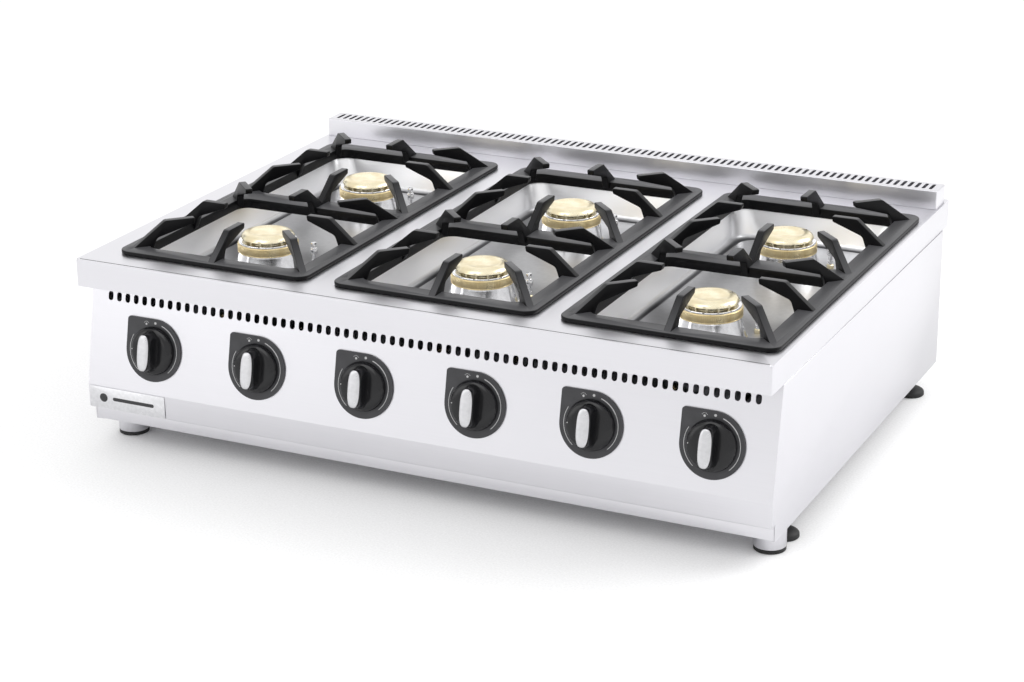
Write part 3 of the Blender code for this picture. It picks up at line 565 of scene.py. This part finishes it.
def make_worktop():
    """Top sheet with turned-down lips, three windows and the flue opening."""
    centre_y = (FRONT + BACK) / 2
    half_x, half_y = TOP_HIGH.x, (BACK - FRONT) / 2
    mesh = bmesh.new()
    outline = shifted(rounded_rectangle(half_x, half_y, 0.004, 5), (0, centre_y))
    prism(mesh, outline, LIP_Z, TOP_Z)
    round_rim(mesh, TOP_Z, 0.0034, 5)
    worktop = object_from(mesh, "worktop_sheet", "steel_x")

    inner_x, inner_y = half_x - SHEET, half_y - SHEET
    cavity = shifted(rounded_rectangle(inner_x, inner_y, 0.0025, 3), (0, centre_y))
    mouth = rounded_rectangle(inner_x - LIP_RETURN, inner_y - LIP_RETURN, 0.003, 2)
    tools = [
        tool_prism(cavity, LIP_Z + SHEET, TOP_Z - SHEET),
        tool_prism(shifted(mouth, (0, centre_y)), LIP_Z - OVERCUT, LIP_Z + OVERCUT),
    ]
    well_low, well_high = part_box("well_left")
    window = (
        (well_high.x - well_low.x) / 2 - WELL_FLANGE,
        (well_high.y - well_low.y) / 2 - WELL_FLANGE,
    )
    for x in COLUMN_X.values():
        outline = shifted(rounded_rectangle(*window, 0.030, 8), (x, COLUMN_Y))
        tools.append(tool_prism(outline, TOP_Z - OVERCUT, TOP_Z + OVERCUT))
    riser_low, riser_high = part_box("flue_riser")
    riser_depth = riser_high.y - riser_low.y
    flue = rounded_rectangle(
        riser_high.x - FLUE_END_MARGIN, riser_depth / 2 - FLUE_SIDE_MARGIN, 0.002, 2
    )
    flue = shifted(flue, (0, middle("flue_riser").y))
    tools.append(tool_prism(flue, TOP_Z - OVERCUT, TOP_Z + OVERCUT))
    seam_half_x = half_x - SEAM_END_MARGIN
    seam_front, seam_back = (FRONT + setback for setback in SEAM_SETBACKS)
    seam = [(-seam_half_x, seam_front), (seam_half_x, seam_front),
            (seam_half_x, seam_back), (-seam_half_x, seam_back)]
    tools.append(tool_prism(seam, TOP_Z - SEAM_DEPTH, TOP_Z + 0.001))
    cut(worktop, *tools)
    smooth(worktop, 40)
    settle(worktop, "range", "brushed_steel", "worktop")

    # Painted shade: a near-black strip is laid in the real seam groove, where the groove's shade
    # falls.
    mesh = bmesh.new()
    prism(mesh, seam, TOP_Z - SEAM_DEPTH, TOP_Z - SEAM_DEPTH / 3)
    settle(object_from(mesh, "worktop_seam_shade", "seam_shade"), "range", "black_rubber")


def make_wells():
    """Pressed pans with a rolled rim, a sloped wall and a channel around the floor."""
    low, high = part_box("well_left")
    rim_x, rim_y = (high.x - low.x) / 2, (high.y - low.y) / 2
    floor_z = WELL_FLOOR_Z
    top = high.z
    window_x, window_y = rim_x - WELL_FLANGE, rim_y - WELL_FLANGE
    floor_x, floor_y = rim_x - WELL_FLOOR_INSET[0], rim_y - WELL_FLOOR_INSET[1]
    channel = WELL_CHANNEL
    steps = [(rim_x, rim_y, 0.040, top), (window_x + 0.001, window_y + 0.001, 0.031, top)]
    for k in range(1, 6):
        turn = math.radians(16 * k)
        steps.append((window_x - 0.004 * math.sin(turn), window_y - 0.004 * math.sin(turn),
                      0.030, top - 0.004 * (1 - math.cos(turn))))
    steps.append((floor_x + 0.0045, floor_y + 0.0045, 0.045, floor_z + 0.006))
    for k in range(1, 6):
        turn = math.radians(18 * k)
        steps.append((floor_x + 0.0045 - 0.006 * (1 - math.cos(turn)) - 0.001 * k,
                      floor_y + 0.0045 - 0.006 * (1 - math.cos(turn)) - 0.001 * k,
                      0.044 - 0.001 * k, floor_z + 0.006 - (0.006 + channel) * math.sin(turn)))
    bead = floor_x - 0.0075, floor_y - 0.0075
    for k in range(5):
        inset = 0.0018 * k
        steps.append((bead[0] - inset, bead[1] - inset, 0.038 - inset,
                      floor_z - channel * math.cos(math.radians(22.5 * k)) ** 2))
    loops = [
        [(x, y, z) for x, y in rounded_rectangle(half_x, half_y, radius, 10)]
        for half_x, half_y, radius, z in steps
    ]
    mesh = bmesh.new()
    loft(mesh, loops, cap_ends=False)
    mesh.verts.ensure_lookup_table()
    count = len(loops[0])
    mesh.faces.new(list(mesh.verts)[-count:])
    well = object_from(mesh, "well_pan_left", "well")
    if well.data.polygons[-1].normal.z < 0:
        well.data.flip_normals()
    sheet = well.modifiers.new("sheet", "SOLIDIFY")
    sheet.thickness = 0.0012
    sheet.offset = -1
    holes = []
    for sign in (-1, 1):
        hole = arc((0, sign * CELL_OFFSET), BURNER_HOLE, 0, 345, 23)
        holes.append(tool_prism(hole, floor_z - OVERCUT, floor_z + OVERCUT))
    cut(well, *holes)
    smooth(well, 50)
    for column, piece in across_columns(well, "well_pan").items():
        settle(piece, "range", "polished_steel", f"well_{column}")


def along_x(name, outline, half_x, surface):
    """A closed (y, z) outline extruded across the range."""
    mesh = bmesh.new()
    loft(mesh, [[(x, y, z) for y, z in outline] for x in (-half_x, half_x)])
    return object_from(mesh, name, surface)


def sheet_outline(path, thickness):
    """A folded sheet's section: the path and its copy, moved to the right of its direction."""
    points = [Vector(point) for point in path]
    inner = []
    for i, point in enumerate(points):
        before = (point - points[i - 1]).normalized() if i else None
        after = (points[i + 1] - point).normalized() if i + 1 < len(points) else None
        first, second = before or after, after or before
        normal = Vector((first.y + second.y, -first.x - second.x)).normalized()
        share = normal.dot(Vector((first.y, -first.x)))
        inner.append(point + normal * thickness / share)
    return [tuple(p) for p in points] + [tuple(p) for p in reversed(inner)]


def slot_tools(count, span, half, low, high, upright):
    """Slots with round ends in one cutting mesh, in a row along X. Upright ones cut along Y."""
    mesh = bmesh.new()
    wide, long = half
    capsule = arc((0, long - wide), wide, 0, 180, 6) + arc((0, wide - long), wide, 180, 360, 6)
    for i in range(count):
        x = -span / 2 + span * i / (count - 1)
        prism(mesh, shifted(capsule, (x, 0)), low, high)
    if upright:
        bmesh.ops.rotate(mesh, verts=mesh.verts, matrix=Matrix.Rotation(math.radians(90), 3, "X"))
    return object_from(mesh, "slot_tool", None)


def make_front_panel():
    """Inclined panel and upright band in one folded sheet, slotted under the worktop's lip."""
    path = [(BAND_BOTTOM[0] + 0.012, BAND_BOTTOM[1])]
    path += fillet(path[0], BAND_BOTTOM, PANEL_KNEE, 0.0020, 4)
    path += fillet(BAND_BOTTOM, PANEL_KNEE, PANEL_TOP, 0.0035, 6)
    path += [PANEL_TOP, (PANEL_TOP[0] + 0.012, PANEL_TOP[1])]
    panel = along_x("front_panel_sheet", sheet_outline(path, SHEET), BODY_HALF_X, "steel_x")

    slots = slot_tools(FRONT_SLOTS, FRONT_SLOT_SPAN, FRONT_SLOT_HALF, -0.04, 0.04, True)
    slots.location = (0, FRONT + 0.05, FRONT_SLOT_Z)
    mesh = bmesh.new()
    clear_x = TOP_HIGH.x - SHEET - LIP_RETURN - 0.001
    notch_back = FRONT + 0.1
    for sign in (-1, 1):
        left, right = sorted((sign * clear_x, sign * (BODY_HALF_X + OVERCUT)))
        corners = [(left, FRONT), (right, FRONT), (right, notch_back), (left, notch_back)]
        prism(mesh, corners, LIP_Z - GAP, TOP_Z + OVERCUT)
    notches = object_from(mesh, "notch_tool", None)
    mesh = bmesh.new()
    reach = 2 * OVERCUT
    drill = [(0, -reach), (SPINDLE_HOLE, -reach), (SPINDLE_HOLE, reach), (0, reach)]
    for name in KNOBS:
        lathe_at(mesh, knob_matrix(name), drill, 24)
    holes = object_from(mesh, "hole_tool", None)
    cut(panel, slots, notches, holes)
    smooth(panel, 40)
    settle(panel, "range", "brushed_steel", "front_panel")


def fillet(before, corner, after, radius, steps):
    """Points that round one corner of an open path."""
    here = Vector(corner)
    first, second = Vector(before) - here, Vector(after) - here
    half = first.angle(second) / 2
    reach = radius / math.tan(half)
    start = here + first.normalized() * reach
    end = here + second.normalized() * reach
    points = []
    for k in range(steps + 1):
        t = k / steps
        points.append(tuple((1 - t) ** 2 * start + 2 * t * (1 - t) * here + t * t * end))
    return points


def lathe_at(mesh, place, profile, segments):
    """Turns a profile about a placed +Z axis."""
    part = bmesh.new()
    lathe(part, profile, segments)
    bmesh.ops.recalc_face_normals(part, faces=part.faces)
    bmesh.ops.transform(part, matrix=place, verts=part.verts)
    data = bpy.data.meshes.new("turned_part")
    part.to_mesh(data)
    part.free()
    mesh.from_mesh(data)
    bpy.data.meshes.remove(data)


def knob_matrix(name):
    """Frame on the panel at a knob: local +Z points out, local +Y up along the panel."""
    out = Vector(JOINTS[name]["axis"]).normalized()
    across = Vector((1, 0, 0))
    place = Matrix((across, out.cross(across), out)).transposed().to_4x4()
    place.translation = Vector(JOINTS[name]["pos_m"])
    return place


def make_flue_riser():
    """Rounded upstand with a row of long round-ended slots in its top."""
    low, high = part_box("flue_riser")
    centre = (low + high) / 2
    half_x, half_y = (high.x - low.x) / 2, (high.y - low.y) / 2
    mesh = bmesh.new()
    prism(mesh, shifted(rounded_rectangle(half_x, half_y, 0.002, 4), centre.xy), low.z, high.z)
    round_rim(mesh, high.z, 0.0018, 4)
    riser = object_from(mesh, "flue_riser_sheet", "steel_x")
    inside = rounded_rectangle(half_x - SHEET, half_y - SHEET, 0.001, 2)
    hollow = tool_prism(shifted(inside, centre.xy), low.z - OVERCUT, high.z - SHEET)
    slots = slot_tools(RISER_SLOTS, RISER_SLOT_SPAN, RISER_SLOT_HALF, -0.006, 0.006, False)
    slots.location = (centre.x, centre.y, high.z)
    cut(riser, hollow, slots)
    smooth(riser, 40)
    settle(riser, "range", "brushed_steel", "flue_riser")


def make_casing():
    """Side, back and bottom sheets keep their folded shape, with rounded edges."""
    for side in ("left", "right"):
        dressed(f"side_panel_{side}", 0.0006, 3, "steel_y", "brushed_steel")
    dressed("base_tray", 0.0004, 2, "steel_x", "brushed_steel")
    dressed("back_panel", 0.0004, 2, "zinc", "galvanised_steel")
    make_screws()


def make_screws():
    """Pan-head screws that hold the back panel, with cross recesses."""
    low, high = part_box("back_panel")
    screw = turned("back_screw_0", [
        (0, 0.0022), (0.0016, 0.0021), (0.0030, 0.0016),
        (0.0038, 0.0007), (0.0040, 0), (0, 0),
    ], "bright", 24)
    mesh = bmesh.new()
    for x, y in ((0.0018, 0.0004), (0.0004, 0.0018)):
        prism(mesh, [(-x, -y), (x, -y), (x, y), (-x, y)], 0.0012, 0.004)
    cut(screw, object_from(mesh, "cross_tool", None))
    smooth(screw, 40)
    places = []
    inset = 0.010
    for x in (low.x + inset, low.x / 3, high.x / 3, high.x - inset):
        places += [(x, low.z + inset), (x, high.z - inset)]
    places += [(low.x + inset, (low.z + high.z) / 2), (high.x - inset, (low.z + high.z) / 2)]
    for i, (x, z) in enumerate(places):
        piece = twin_of(screw, f"back_screw_{i}") if i else screw
        piece.rotation_euler = (math.radians(-90), 0, 0)
        piece.location = (x, high.y, z)
        settle(piece, "range", "galvanised_steel")


def make_badge():
    """Blank rating plate with a plain dark printed line and dot."""
    low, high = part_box("badge_plate")
    centre = (low + high) / 2
    half_x, half_z = (high.x - low.x) / 2, (high.z - low.z) / 2
    thickness = high.y - low.y
    mesh = bmesh.new()
    prism(mesh, rounded_rectangle(half_x, half_z, 0.0016, 5), 0, thickness)
    round_rim(mesh, thickness, 0.0003, 2)
    plate = object_from(mesh, "badge_blank", "badge")
    place = Matrix.Rotation(math.radians(90), 4, "X")
    place.translation = (centre.x, high.y, centre.z)
    plate.matrix_world = place
    smooth(plate)
    settle(plate, "range", "badge_plate", "badge_plate")
    mesh = bmesh.new()
    bar = shifted(rounded_rectangle(0.040, 0.0030, 0.0029, 5), (0.012, 0))
    disc = arc((-0.046, 0), 0.0075, 0, 350, 35)
    for outline in (bar, disc):
        prism(mesh, outline, thickness, thickness + PRINT_THICKNESS)
    mark = object_from(mesh, "badge_mark", "dark_print")
    mark.matrix_world = place
    settle(mark, "range", "badge_plate")


# Grates


def prong_outline(foot, edge, upper, tip):
    """Side view of a prong with rounded corners, as (distance from the burner, height) points."""
    frame_mid = TOP_Z + GAP + GRATE_THICKNESS / 2
    skirt_low = TOP_Z - 0.008
    pan_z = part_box("grate_left")[1].z
    points = [
        (foot, frame_mid),
        (edge + 0.0030, frame_mid),
        (edge + 0.0030, skirt_low),
        (edge + 0.0010, skirt_low),
        (edge - 0.0040, TOP_Z - 0.001),
        (edge - 0.0110, PRONG_KNEE_Z),
        (tip + 0.002, pan_z - 0.009),
        (tip, pan_z),
        (upper + 0.002, pan_z),
    ]
    radii = [0, 0, 0, 0, 0.004, 0.010, 0.0025, 0.0025, 0.009]
    return rounded_corners(points, radii, 6)


# Foot, window edge, upper corner and tip, as distances from the burner's axis
ACROSS_PRONG = (0.172, 0.142, 0.119, 0.078)
ALONG_PRONG = (0.182, 0.152, 0.124, 0.080)
CORNER_PRONG = (0.230, 0.1984, 0.170, 0.122)


def make_prong(shape):
    outline = prong_outline(*shape)
    mesh = bmesh.new()
    half = PRONG_HALF_THICKNESS
    loft(mesh, [[(r, offset, z) for r, z in outline] for offset in (-half, half)])
    piece = object_from(mesh, "prong_tool", "iron")
    return bevelled(piece, 0.0018, 3, 50)


def make_grates():
    """Cast frame over two burners, with sixteen rounded prongs."""
    low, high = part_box("grate_left")
    half_x, half_y = (high.x - low.x) / 2, (high.y - low.y) / 2
    window_x, window_y = half_x - GRATE_BAR, half_y - GRATE_BAR - CELL_OFFSET
    bottom, top = TOP_Z + GAP, TOP_Z + GAP + GRATE_THICKNESS
    mesh = bmesh.new()
    prism(mesh, rounded_rectangle(half_x, half_y, 0.022, 10), bottom, top)
    grate = object_from(mesh, "grate_casting_left", "iron")
    skirt_x, skirt_y = window_x + GRATE_SKIRT, window_y + GRATE_SKIRT + CELL_OFFSET
    skirt = rounded_rectangle(skirt_x, skirt_y, 0.028, 10)
    mesh = bmesh.new()
    prism(mesh, skirt, TOP_Z - 0.010, (bottom + top) / 2)
    join(grate, object_from(mesh, "skirt_tool", "iron"))
    window = rounded_rectangle(window_x, window_y, 0.022, 10)
    holes = [
        tool_prism(shifted(window, (0, sign * CELL_OFFSET)), TOP_Z - 0.05, TOP_Z + 0.05)
        for sign in (-1, 1)
    ]
    cut(grate, *holes)
    bevelled(grate, 0.0016, 3, 50)
    prongs = []
    for sign in (-1, 1):
        for i in range(8):
            shape = CORNER_PRONG if i % 2 else ALONG_PRONG if i % 4 else ACROSS_PRONG
            piece = make_prong(shape)
            piece.name = f"prong_tool_{sign}_{i}"
            piece.rotation_euler.z = math.radians(45 * i)
            piece.location = (0, sign * CELL_OFFSET, 0)
            prongs.append(piece)
    join(grate, *prongs)
    smooth(grate, 40)
    for column, piece in across_columns(grate, "grate_casting").items():
        settle(piece, f"grate_{column}", "cast_iron", f"grate_{column}")


# Burners


def make_burners():
    """Polished cones, grooved brass crowns, port rings and dished caps."""
    floor = WELL_FLOOR_Z + GAP
    crown_low, crown_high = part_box("burner_crown_left_front")
    seat, rim = crown_low.z + 0.007, crown_high.z - 0.001
    cap_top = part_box("burner_cap_left_front")[1].z
    cap_edge = rim + 0.0075
    cone = turned("burner_cone", [
        (0.0493, seat - 0.0003), (0.0494, seat - 0.0010), (0.0498, seat - 0.0030),
        (0.0560, 0.2800), (0.0572, 0.2762), (0.0580, floor + 0.0016),
        (0.0590, floor + 0.0008), (0.0590, floor), (0.0420, floor), (0.0340, floor - 0.008),
        (0.0300, THROAT_BOTTOM), (0, THROAT_BOTTOM), (0, floor - 0.010),
        (0.0280, floor - 0.006), (0.0450, seat - 0.0100), (0.0450, seat - 0.0003),
    ], "bright", 128)

    def grooved(radius, z, angle):
        if radius < CROWN_SIDE or not seat + 0.0015 < z < rim - 0.0010:
            return radius
        return radius - GROOVE_DEPTH * (0.5 + 0.5 * math.cos(GROOVES * angle))

    crown = turned("crown_ring", [
        (0.0300, rim + 0.0002), (0.0478, rim + 0.0002), (0.0490, rim),
        (0.0502, rim - 0.0006), (0.0508, rim - 0.0012), (0.0510, rim - 0.0022),
        (0.0510, rim - 0.0070), (0.0510, seat + 0.0025), (0.0508, seat + 0.0016),
        (0.0510, seat + 0.0010), (0.0510, seat + 0.0001), (0.0508, seat), (0.0444, seat),
        (0.0444, seat - 0.0070), (0.0414, seat - 0.0070), (0.0300, rim - 0.0040),
    ], "brass", GROOVES * 6, grooved, 40)

    ring = turned("port_ring", [
        (0.0372, rim + 0.00300), (0.0474, rim + 0.00300), (0.0484, rim + 0.00260),
        (0.0489, rim + 0.00180), (0.0489, rim + 0.00025), (0.0372, rim + 0.00025),
    ], "bright", 128)

    cap = turned("cap_disc", [
        (0, cap_top - 0.0016), (0.0150, cap_top - 0.0015), (0.0230, cap_top - 0.0012),
        (0.0268, cap_top - 0.0005), (0.0290, cap_top), (0.0330, cap_top - 0.0002),
        (0.0370, cap_top - 0.0008), (0.0400, cap_top - 0.0018), (0.0422, cap_top - 0.0034),
        (0.0438, cap_top - 0.0056), (0.0449, cap_edge + 0.0014), (0.0450, cap_edge + 0.0009),
        (0.0447, cap_edge + 0.0003), (0.0440, cap_edge),
        (0.0366, cap_edge), (0.0354, cap_edge - 0.0010), (0.0350, rim + 0.0014),
        (0.0292, rim + 0.0014), (0.0292, rim - 0.0010), (0, rim - 0.0010),
    ], "pale_brass", 128)
    lugs = []
    for i in range(PORT_LUGS):
        mesh = bmesh.new()
        outline = rounded_rectangle(0.0036, 0.0016, 0.0008, 2)
        prism(mesh, outline, rim + 0.0034, cap_edge + 0.0005)
        lug = object_from(mesh, f"lug_tool_{i}", "pale_brass")
        turn = 2 * math.pi * i / PORT_LUGS
        lug.location = (LUG_CENTRE * math.cos(turn), LUG_CENTRE * math.sin(turn), 0)
        lug.rotation_euler.z = turn
        lugs.append(lug)
    join(cap, *lugs)
    smooth(cap)

    for (column, cell), (x, y) in BURNERS.items():
        tag = f"{column}_{cell}"
        for first, slot, body, nodes in (
            (cone, "cast_aluminium", "range", [f"burner_body_{tag}"]),
            (crown, "brass", f"burner_crown_{tag}", [f"burner_crown_{tag}"]),
            (ring, "cast_aluminium", f"burner_crown_{tag}", []),
            (cap, "brass", f"burner_cap_{tag}", [f"burner_cap_{tag}"]),
        ):
            piece = twin_of(first, f"{first.name}_{tag}")
            piece.location = (x, y, 0)
            settle(piece, body, slot, *nodes)
    for first in (cone, crown, ring, cap):
        bpy.data.objects.remove(first)
    make_pilots(floor)


def make_pilots(floor):
    """Upright pilot tube on a nut beside each burner, with a hooded tip."""
    nut = [
        (0, floor + 0.0060), (0.0052, floor + 0.0060), (0.0062, floor + 0.0052),
        (0.0066, floor), (0, floor),
    ]
    tube = [
        (0, floor + 0.0440), (0.0030, floor + 0.0436), (0.0046, floor + 0.0424),
        (0.0052, floor + 0.0405), (0.0046, floor + 0.0386),
        (0.0036, floor + 0.0374), (0.0036, floor + 0.0340),
        (0.0056, floor + 0.0330), (0.0062, floor + 0.0316),
        (0.0062, floor + 0.0240), (0.0056, floor + 0.0226), (0.0034, floor + 0.0216),
        (0.0034, floor + 0.0130), (0.0044, floor + 0.0124), (0.0044, floor + 0.0100),
        (0.0034, floor + 0.0094), (0.0034, floor + 0.0062), (0, floor + 0.0062),
    ]
    pilot = turned("pilot_tube", tube, "bright", 40)
    slit = rounded_rectangle(0.0016, 0.0070, 0.0008, 2)
    cut(pilot, tool_prism(slit, floor + 0.0262, floor + 0.0292))
    smooth(pilot)
    base = turned("pilot_nut", nut, "pale_brass", 6, angle=20)
    for (column, cell), (x, y) in BURNERS.items():
        for first, slot in ((pilot, "cast_aluminium"), (base, "brass")):
            piece = twin_of(first, f"{first.name}_{column}_{cell}")
            piece.location = (x + PILOT_OFFSET[0], y + PILOT_OFFSET[1], 0)
            settle(piece, "range", slot)
    for first in (pilot, base):
        bpy.data.objects.remove(first)


# Controls


def printed_band(mesh, inner, outer, start, end, low, high, steps):
    """A raised strip along an arc, with angles in degrees."""
    outline = arc((0, 0), outer, start, end, steps) + arc((0, 0), inner, end, start, steps)
    prism(mesh, outline, low, high)


def make_bezels():
    """Plates with one square corner, and their printed scale and marks."""
    inset = BEZEL_RADIUS - BEZEL_CORNER
    outline = arc((0, 0), BEZEL_RADIUS, 180, 450, 60)
    outline += arc((-inset, inset), BEZEL_CORNER, 90, 180, 8)
    mesh = bmesh.new()
    prism(mesh, outline[:-1], GAP, BEZEL_FACE)
    round_rim(mesh, BEZEL_FACE, 0.0009, 3)
    bezel = object_from(mesh, "bezel_plate", "bezel")
    cut(bezel, tool_prism(arc((0, 0), SPINDLE_HOLE, 0, 345, 23), -OVERCUT, OVERCUT))
    smooth(bezel)

    low, high = BEZEL_FACE, BEZEL_FACE + PRINT_THICKNESS
    mesh = bmesh.new()
    printed_band(mesh, 0.0442, 0.0450, -48, 30, low, high, 40)
    printed_band(mesh, 0.0439, 0.0452, 30, 72, low, high, 30)
    printed_band(mesh, 0.0442, 0.0450, 150, 232, low, high, 40)
    prism(mesh, arc((0.0015, 0.0455), 0.0021, 0, 340, 17), low, high)
    for spot in arc(DOT_RING, 0.0046, 30, 150, 4):
        prism(mesh, arc(spot, 0.0006, 0, 315, 7), low, high)
    prism(mesh, arc(DOT_RING, 0.0018, 0, 340, 17), low, high)
    marks = object_from(mesh, "bezel_marks", "print")

    for name in KNOBS:
        number = name.split("_")[1]
        for first, nodes in ((bezel, [f"knob_bezel_{number}"]), (marks, [])):
            piece = twin_of(first, f"{first.name}_{number}")
            piece.matrix_world = knob_matrix(name)
            settle(piece, "range", "bezel_plastic", *nodes)
    for first in (bezel, marks):
        bpy.data.objects.remove(first)


def blade_loops(steps):
    """Rounded rectangles for (half width, half length, height) steps."""
    loops = []
    for half_x, half_y, z in steps:
        outline = rounded_rectangle(half_x, half_y, BLADE_ROUNDNESS * half_x, 10)
        loops.append([(x, y, z) for x, y in outline])
    return loops


def lens_loops(steps):
    """Loops that are widest in the middle, for (half width, half length, height) steps."""
    circle = arc((0, 0), 1, 0, 354, 59)
    return [
        [(half_x * squared(x), half_y * squared(y), z) for x, y in circle]
        for half_x, half_y, z in steps
    ]


def squared(share):
    """Pushes a circle's coordinate outwards, towards a rounded square."""
    return math.copysign(abs(share) ** PAD_SQUARENESS, share)


def make_knobs():
    """Glossy disc with a gripping blade and a silver pad on its front."""
    disc = turned("knob_disc", [
        (0, 0.0140), (0.0260, 0.0140), (0.0300, 0.0138), (0.0330, 0.0133), (0.0358, 0.0122),
        (0.0380, 0.0106), (0.0393, 0.0086), (0.0399, 0.0066), (0.0400, 0.0050), (0.0398, 0.0043),
        (0.0392, 0.0040), (0.0040, 0.0040), (0.0040, -0.0260), (0, -0.0260),
    ], "knob", 128)
    mesh = bmesh.new()
    loft(mesh, blade_loops([
        (0.0150, 0.0345, 0.0110), (0.0146, 0.0342, 0.0135), (0.0134, 0.0332, 0.0160),
        (0.0126, 0.0324, 0.0200), (0.0118, 0.0315, 0.0260), (0.0111, 0.0306, 0.0315),
        (0.0106, 0.0300, 0.0332), (0.0098, 0.0292, 0.0340),
    ]))
    blade = object_from(mesh, "blade_tool", "knob")
    join(disc, blade)
    disc.name = "knob_grip"
    smooth(disc, 35)

    mesh = bmesh.new()
    loft(mesh, lens_loops([
        (0.0102, 0.0296, 0.0341), (0.0104, 0.0298, 0.0346), (0.0102, 0.0296, 0.0352),
        (0.0092, 0.0286, 0.0357), (0.0068, 0.0262, 0.0361), (0.0030, 0.0224, 0.0363),
    ]))
    pad = object_from(mesh, "knob_pad", "pad")
    smooth(pad, 50)

    mesh = bmesh.new()
    prism(mesh, arc((-0.0345, 0), 0.0009, 0, 330, 11), 0.0128, 0.0134)
    dot = object_from(mesh, "knob_dot", "print")

    for name in KNOBS:
        number = name.split("_")[1]
        body = f"knob_{number}"
        for first, nodes in ((disc, [body]), (pad, []), (dot, [])):
            piece = twin_of(first, f"{first.name}_{number}")
            piece.matrix_world = knob_matrix(name)
            settle(piece, body, "knob_plastic", *nodes)
    for first in (disc, pad, dot):
        bpy.data.objects.remove(first)


# Feet


def make_feet():
    top = BASE_Z - GAP
    for side in ("left", "right"):
        node = f"steel_foot_{side}"
        centre = middle(node)
        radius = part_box(node)[1].x - centre.x
        can = turned(f"foot_can_{side}", [
            (0, top), (radius, top), (radius, 0.0075), (radius - 0.0004, 0.0068),
            (radius - 0.0012, 0.0064), (0, 0.0064),
        ], "steel_x", 96)
        can.location = (centre.x, centre.y, 0)
        settle(can, node, "brushed_steel", node)
        pad = turned(f"foot_pad_{side}", [
            (0, 0.0062), (radius - 0.0010, 0.0062), (radius - 0.0004, 0.0056),
            (radius - 0.0004, 0.0008), (radius - 0.0012, 0), (0, 0),
        ], "rubber", 96)
        pad.location = (centre.x, centre.y, 0)
        settle(pad, node, "black_rubber")
        for end in ("front", "rear"):
            node = f"levelling_foot_{side}_{end}"
            centre = middle(node)
            foot = turned(f"rubber_foot_{side}_{end}", [
                (0, 0.0140), (0.0090, 0.0140), (0.0120, 0.0136), (0.0180, 0.0115),
                (0.0222, 0.0088), (0.0236, 0.0070), (0.0240, 0.0050), (0.0240, 0.0012),
                (0.0232, 0.0002), (0.0225, 0), (0, 0),
            ], "rubber", 72)
            stud_profile = [(0, top), (0.0085, top), (0.0085, top - 0.006), (0.0050, top - 0.007)]
            for k in range(STUD_TURNS):
                z = top - 0.0075 - k * STUD_PITCH
                stud_profile += [(0.0050, z), (0.0045, z - STUD_PITCH / 2)]
            stud_profile += [(0.0045, 0.0142), (0, 0.0142)]
            stud = turned(f"foot_stud_{side}_{end}", stud_profile, "bright", 32)
            for piece in (foot, stud):
                piece.location = (centre.x, centre.y, 0)
            settle(foot, node, "black_rubber", node)
            settle(stud, node, "galvanised_steel")


def dress_hidden():
    """CAD nodes that stay as they are get a procedural material."""
    for name, node in frame["nodes"].items():
        if node.hide_render:
            continue
        surface = "brass" if name == "gas_inlet" else "tube"
        node.data.materials.clear()
        node.data.materials.append(MATERIALS[surface])


# Stage


# Place, target, size and power
LIGHTS = {
    "key_light": ((-3.2, -4.0, 1.3), (0, -0.4, 0.2), (2.6, 1.8), 18),
    "side_light": ((3.0, 1.6, 2.6), (0.8, 0.2, 0), (2.4, 2.4), 76),
    "back_light": ((-1.6, 3.6, 1.8), (0, 0, 0.33), (4.0, 2.0), 6),
    "front_light": ((-0.9, -3.4, 3.6), (-0.6, -0.8, 0), (3.0, 3.0), 44),
}
WORLD_STRENGTH = 1.04

# The camera's directions and place, from the perspective fit of the photograph
CAMERA_RIGHT = Vector((0.90280809, 0.42998253, -0.00725132))
CAMERA_DOWN = Vector((0.14150641, -0.31295073, -0.93916866))
CAMERA_PLACE = (1.6974, -3.6010, 1.5840)
CAMERA_LENS = 87.3


def make_stage():
    mesh = bmesh.new()
    prism(mesh, rounded_rectangle(30, 30, 1.0, 6), -0.05, -0.0002)
    floor = object_from(mesh, "studio_floor", "floor")

    world = bpy.data.worlds.new("studio")
    bpy.context.scene.world = world
    world.use_nodes = True
    background = world.node_tree.nodes["Background"]
    background.inputs["Color"].default_value = (1, 1, 1, 1)
    background.inputs["Strength"].default_value = WORLD_STRENGTH


def area_light(name, place, target, size, power):
    data = bpy.data.lights.new(name, "AREA")
    data.shape = "RECTANGLE"
    data.size, data.size_y = size
    data.energy = power
    light = bpy.data.objects.new(name, data)
    light.location = place
    light.rotation_euler = (Vector(target) - Vector(place)).to_track_quat("-Z", "Y").to_euler()
    bpy.context.scene.collection.objects.link(light)


def make_camera():
    """The photograph's view: 25.6 degrees round to the right and 20 degrees above."""
    data = bpy.data.cameras.new("camera")
    data.sensor_width = 36
    data.lens = CAMERA_LENS
    camera = bpy.data.objects.new("camera", data)
    forward = CAMERA_RIGHT.cross(CAMERA_DOWN)
    turn = Matrix((CAMERA_RIGHT, -CAMERA_DOWN, -forward)).transposed()
    camera.matrix_world = Matrix.Translation(CAMERA_PLACE) @ turn.to_4x4()
    bpy.context.scene.collection.objects.link(camera)
    bpy.context.scene.camera = camera


make_worktop()
make_wells()
make_front_panel()
make_flue_riser()
make_casing()
make_badge()
make_grates()
make_burners()
make_bezels()
make_knobs()
make_feet()
dress_hidden()
make_stage()
for name, settings in LIGHTS.items():
    area_light(name, *settings)
make_camera()
scene = bpy.context.scene
scene.view_settings.view_transform = "Standard"
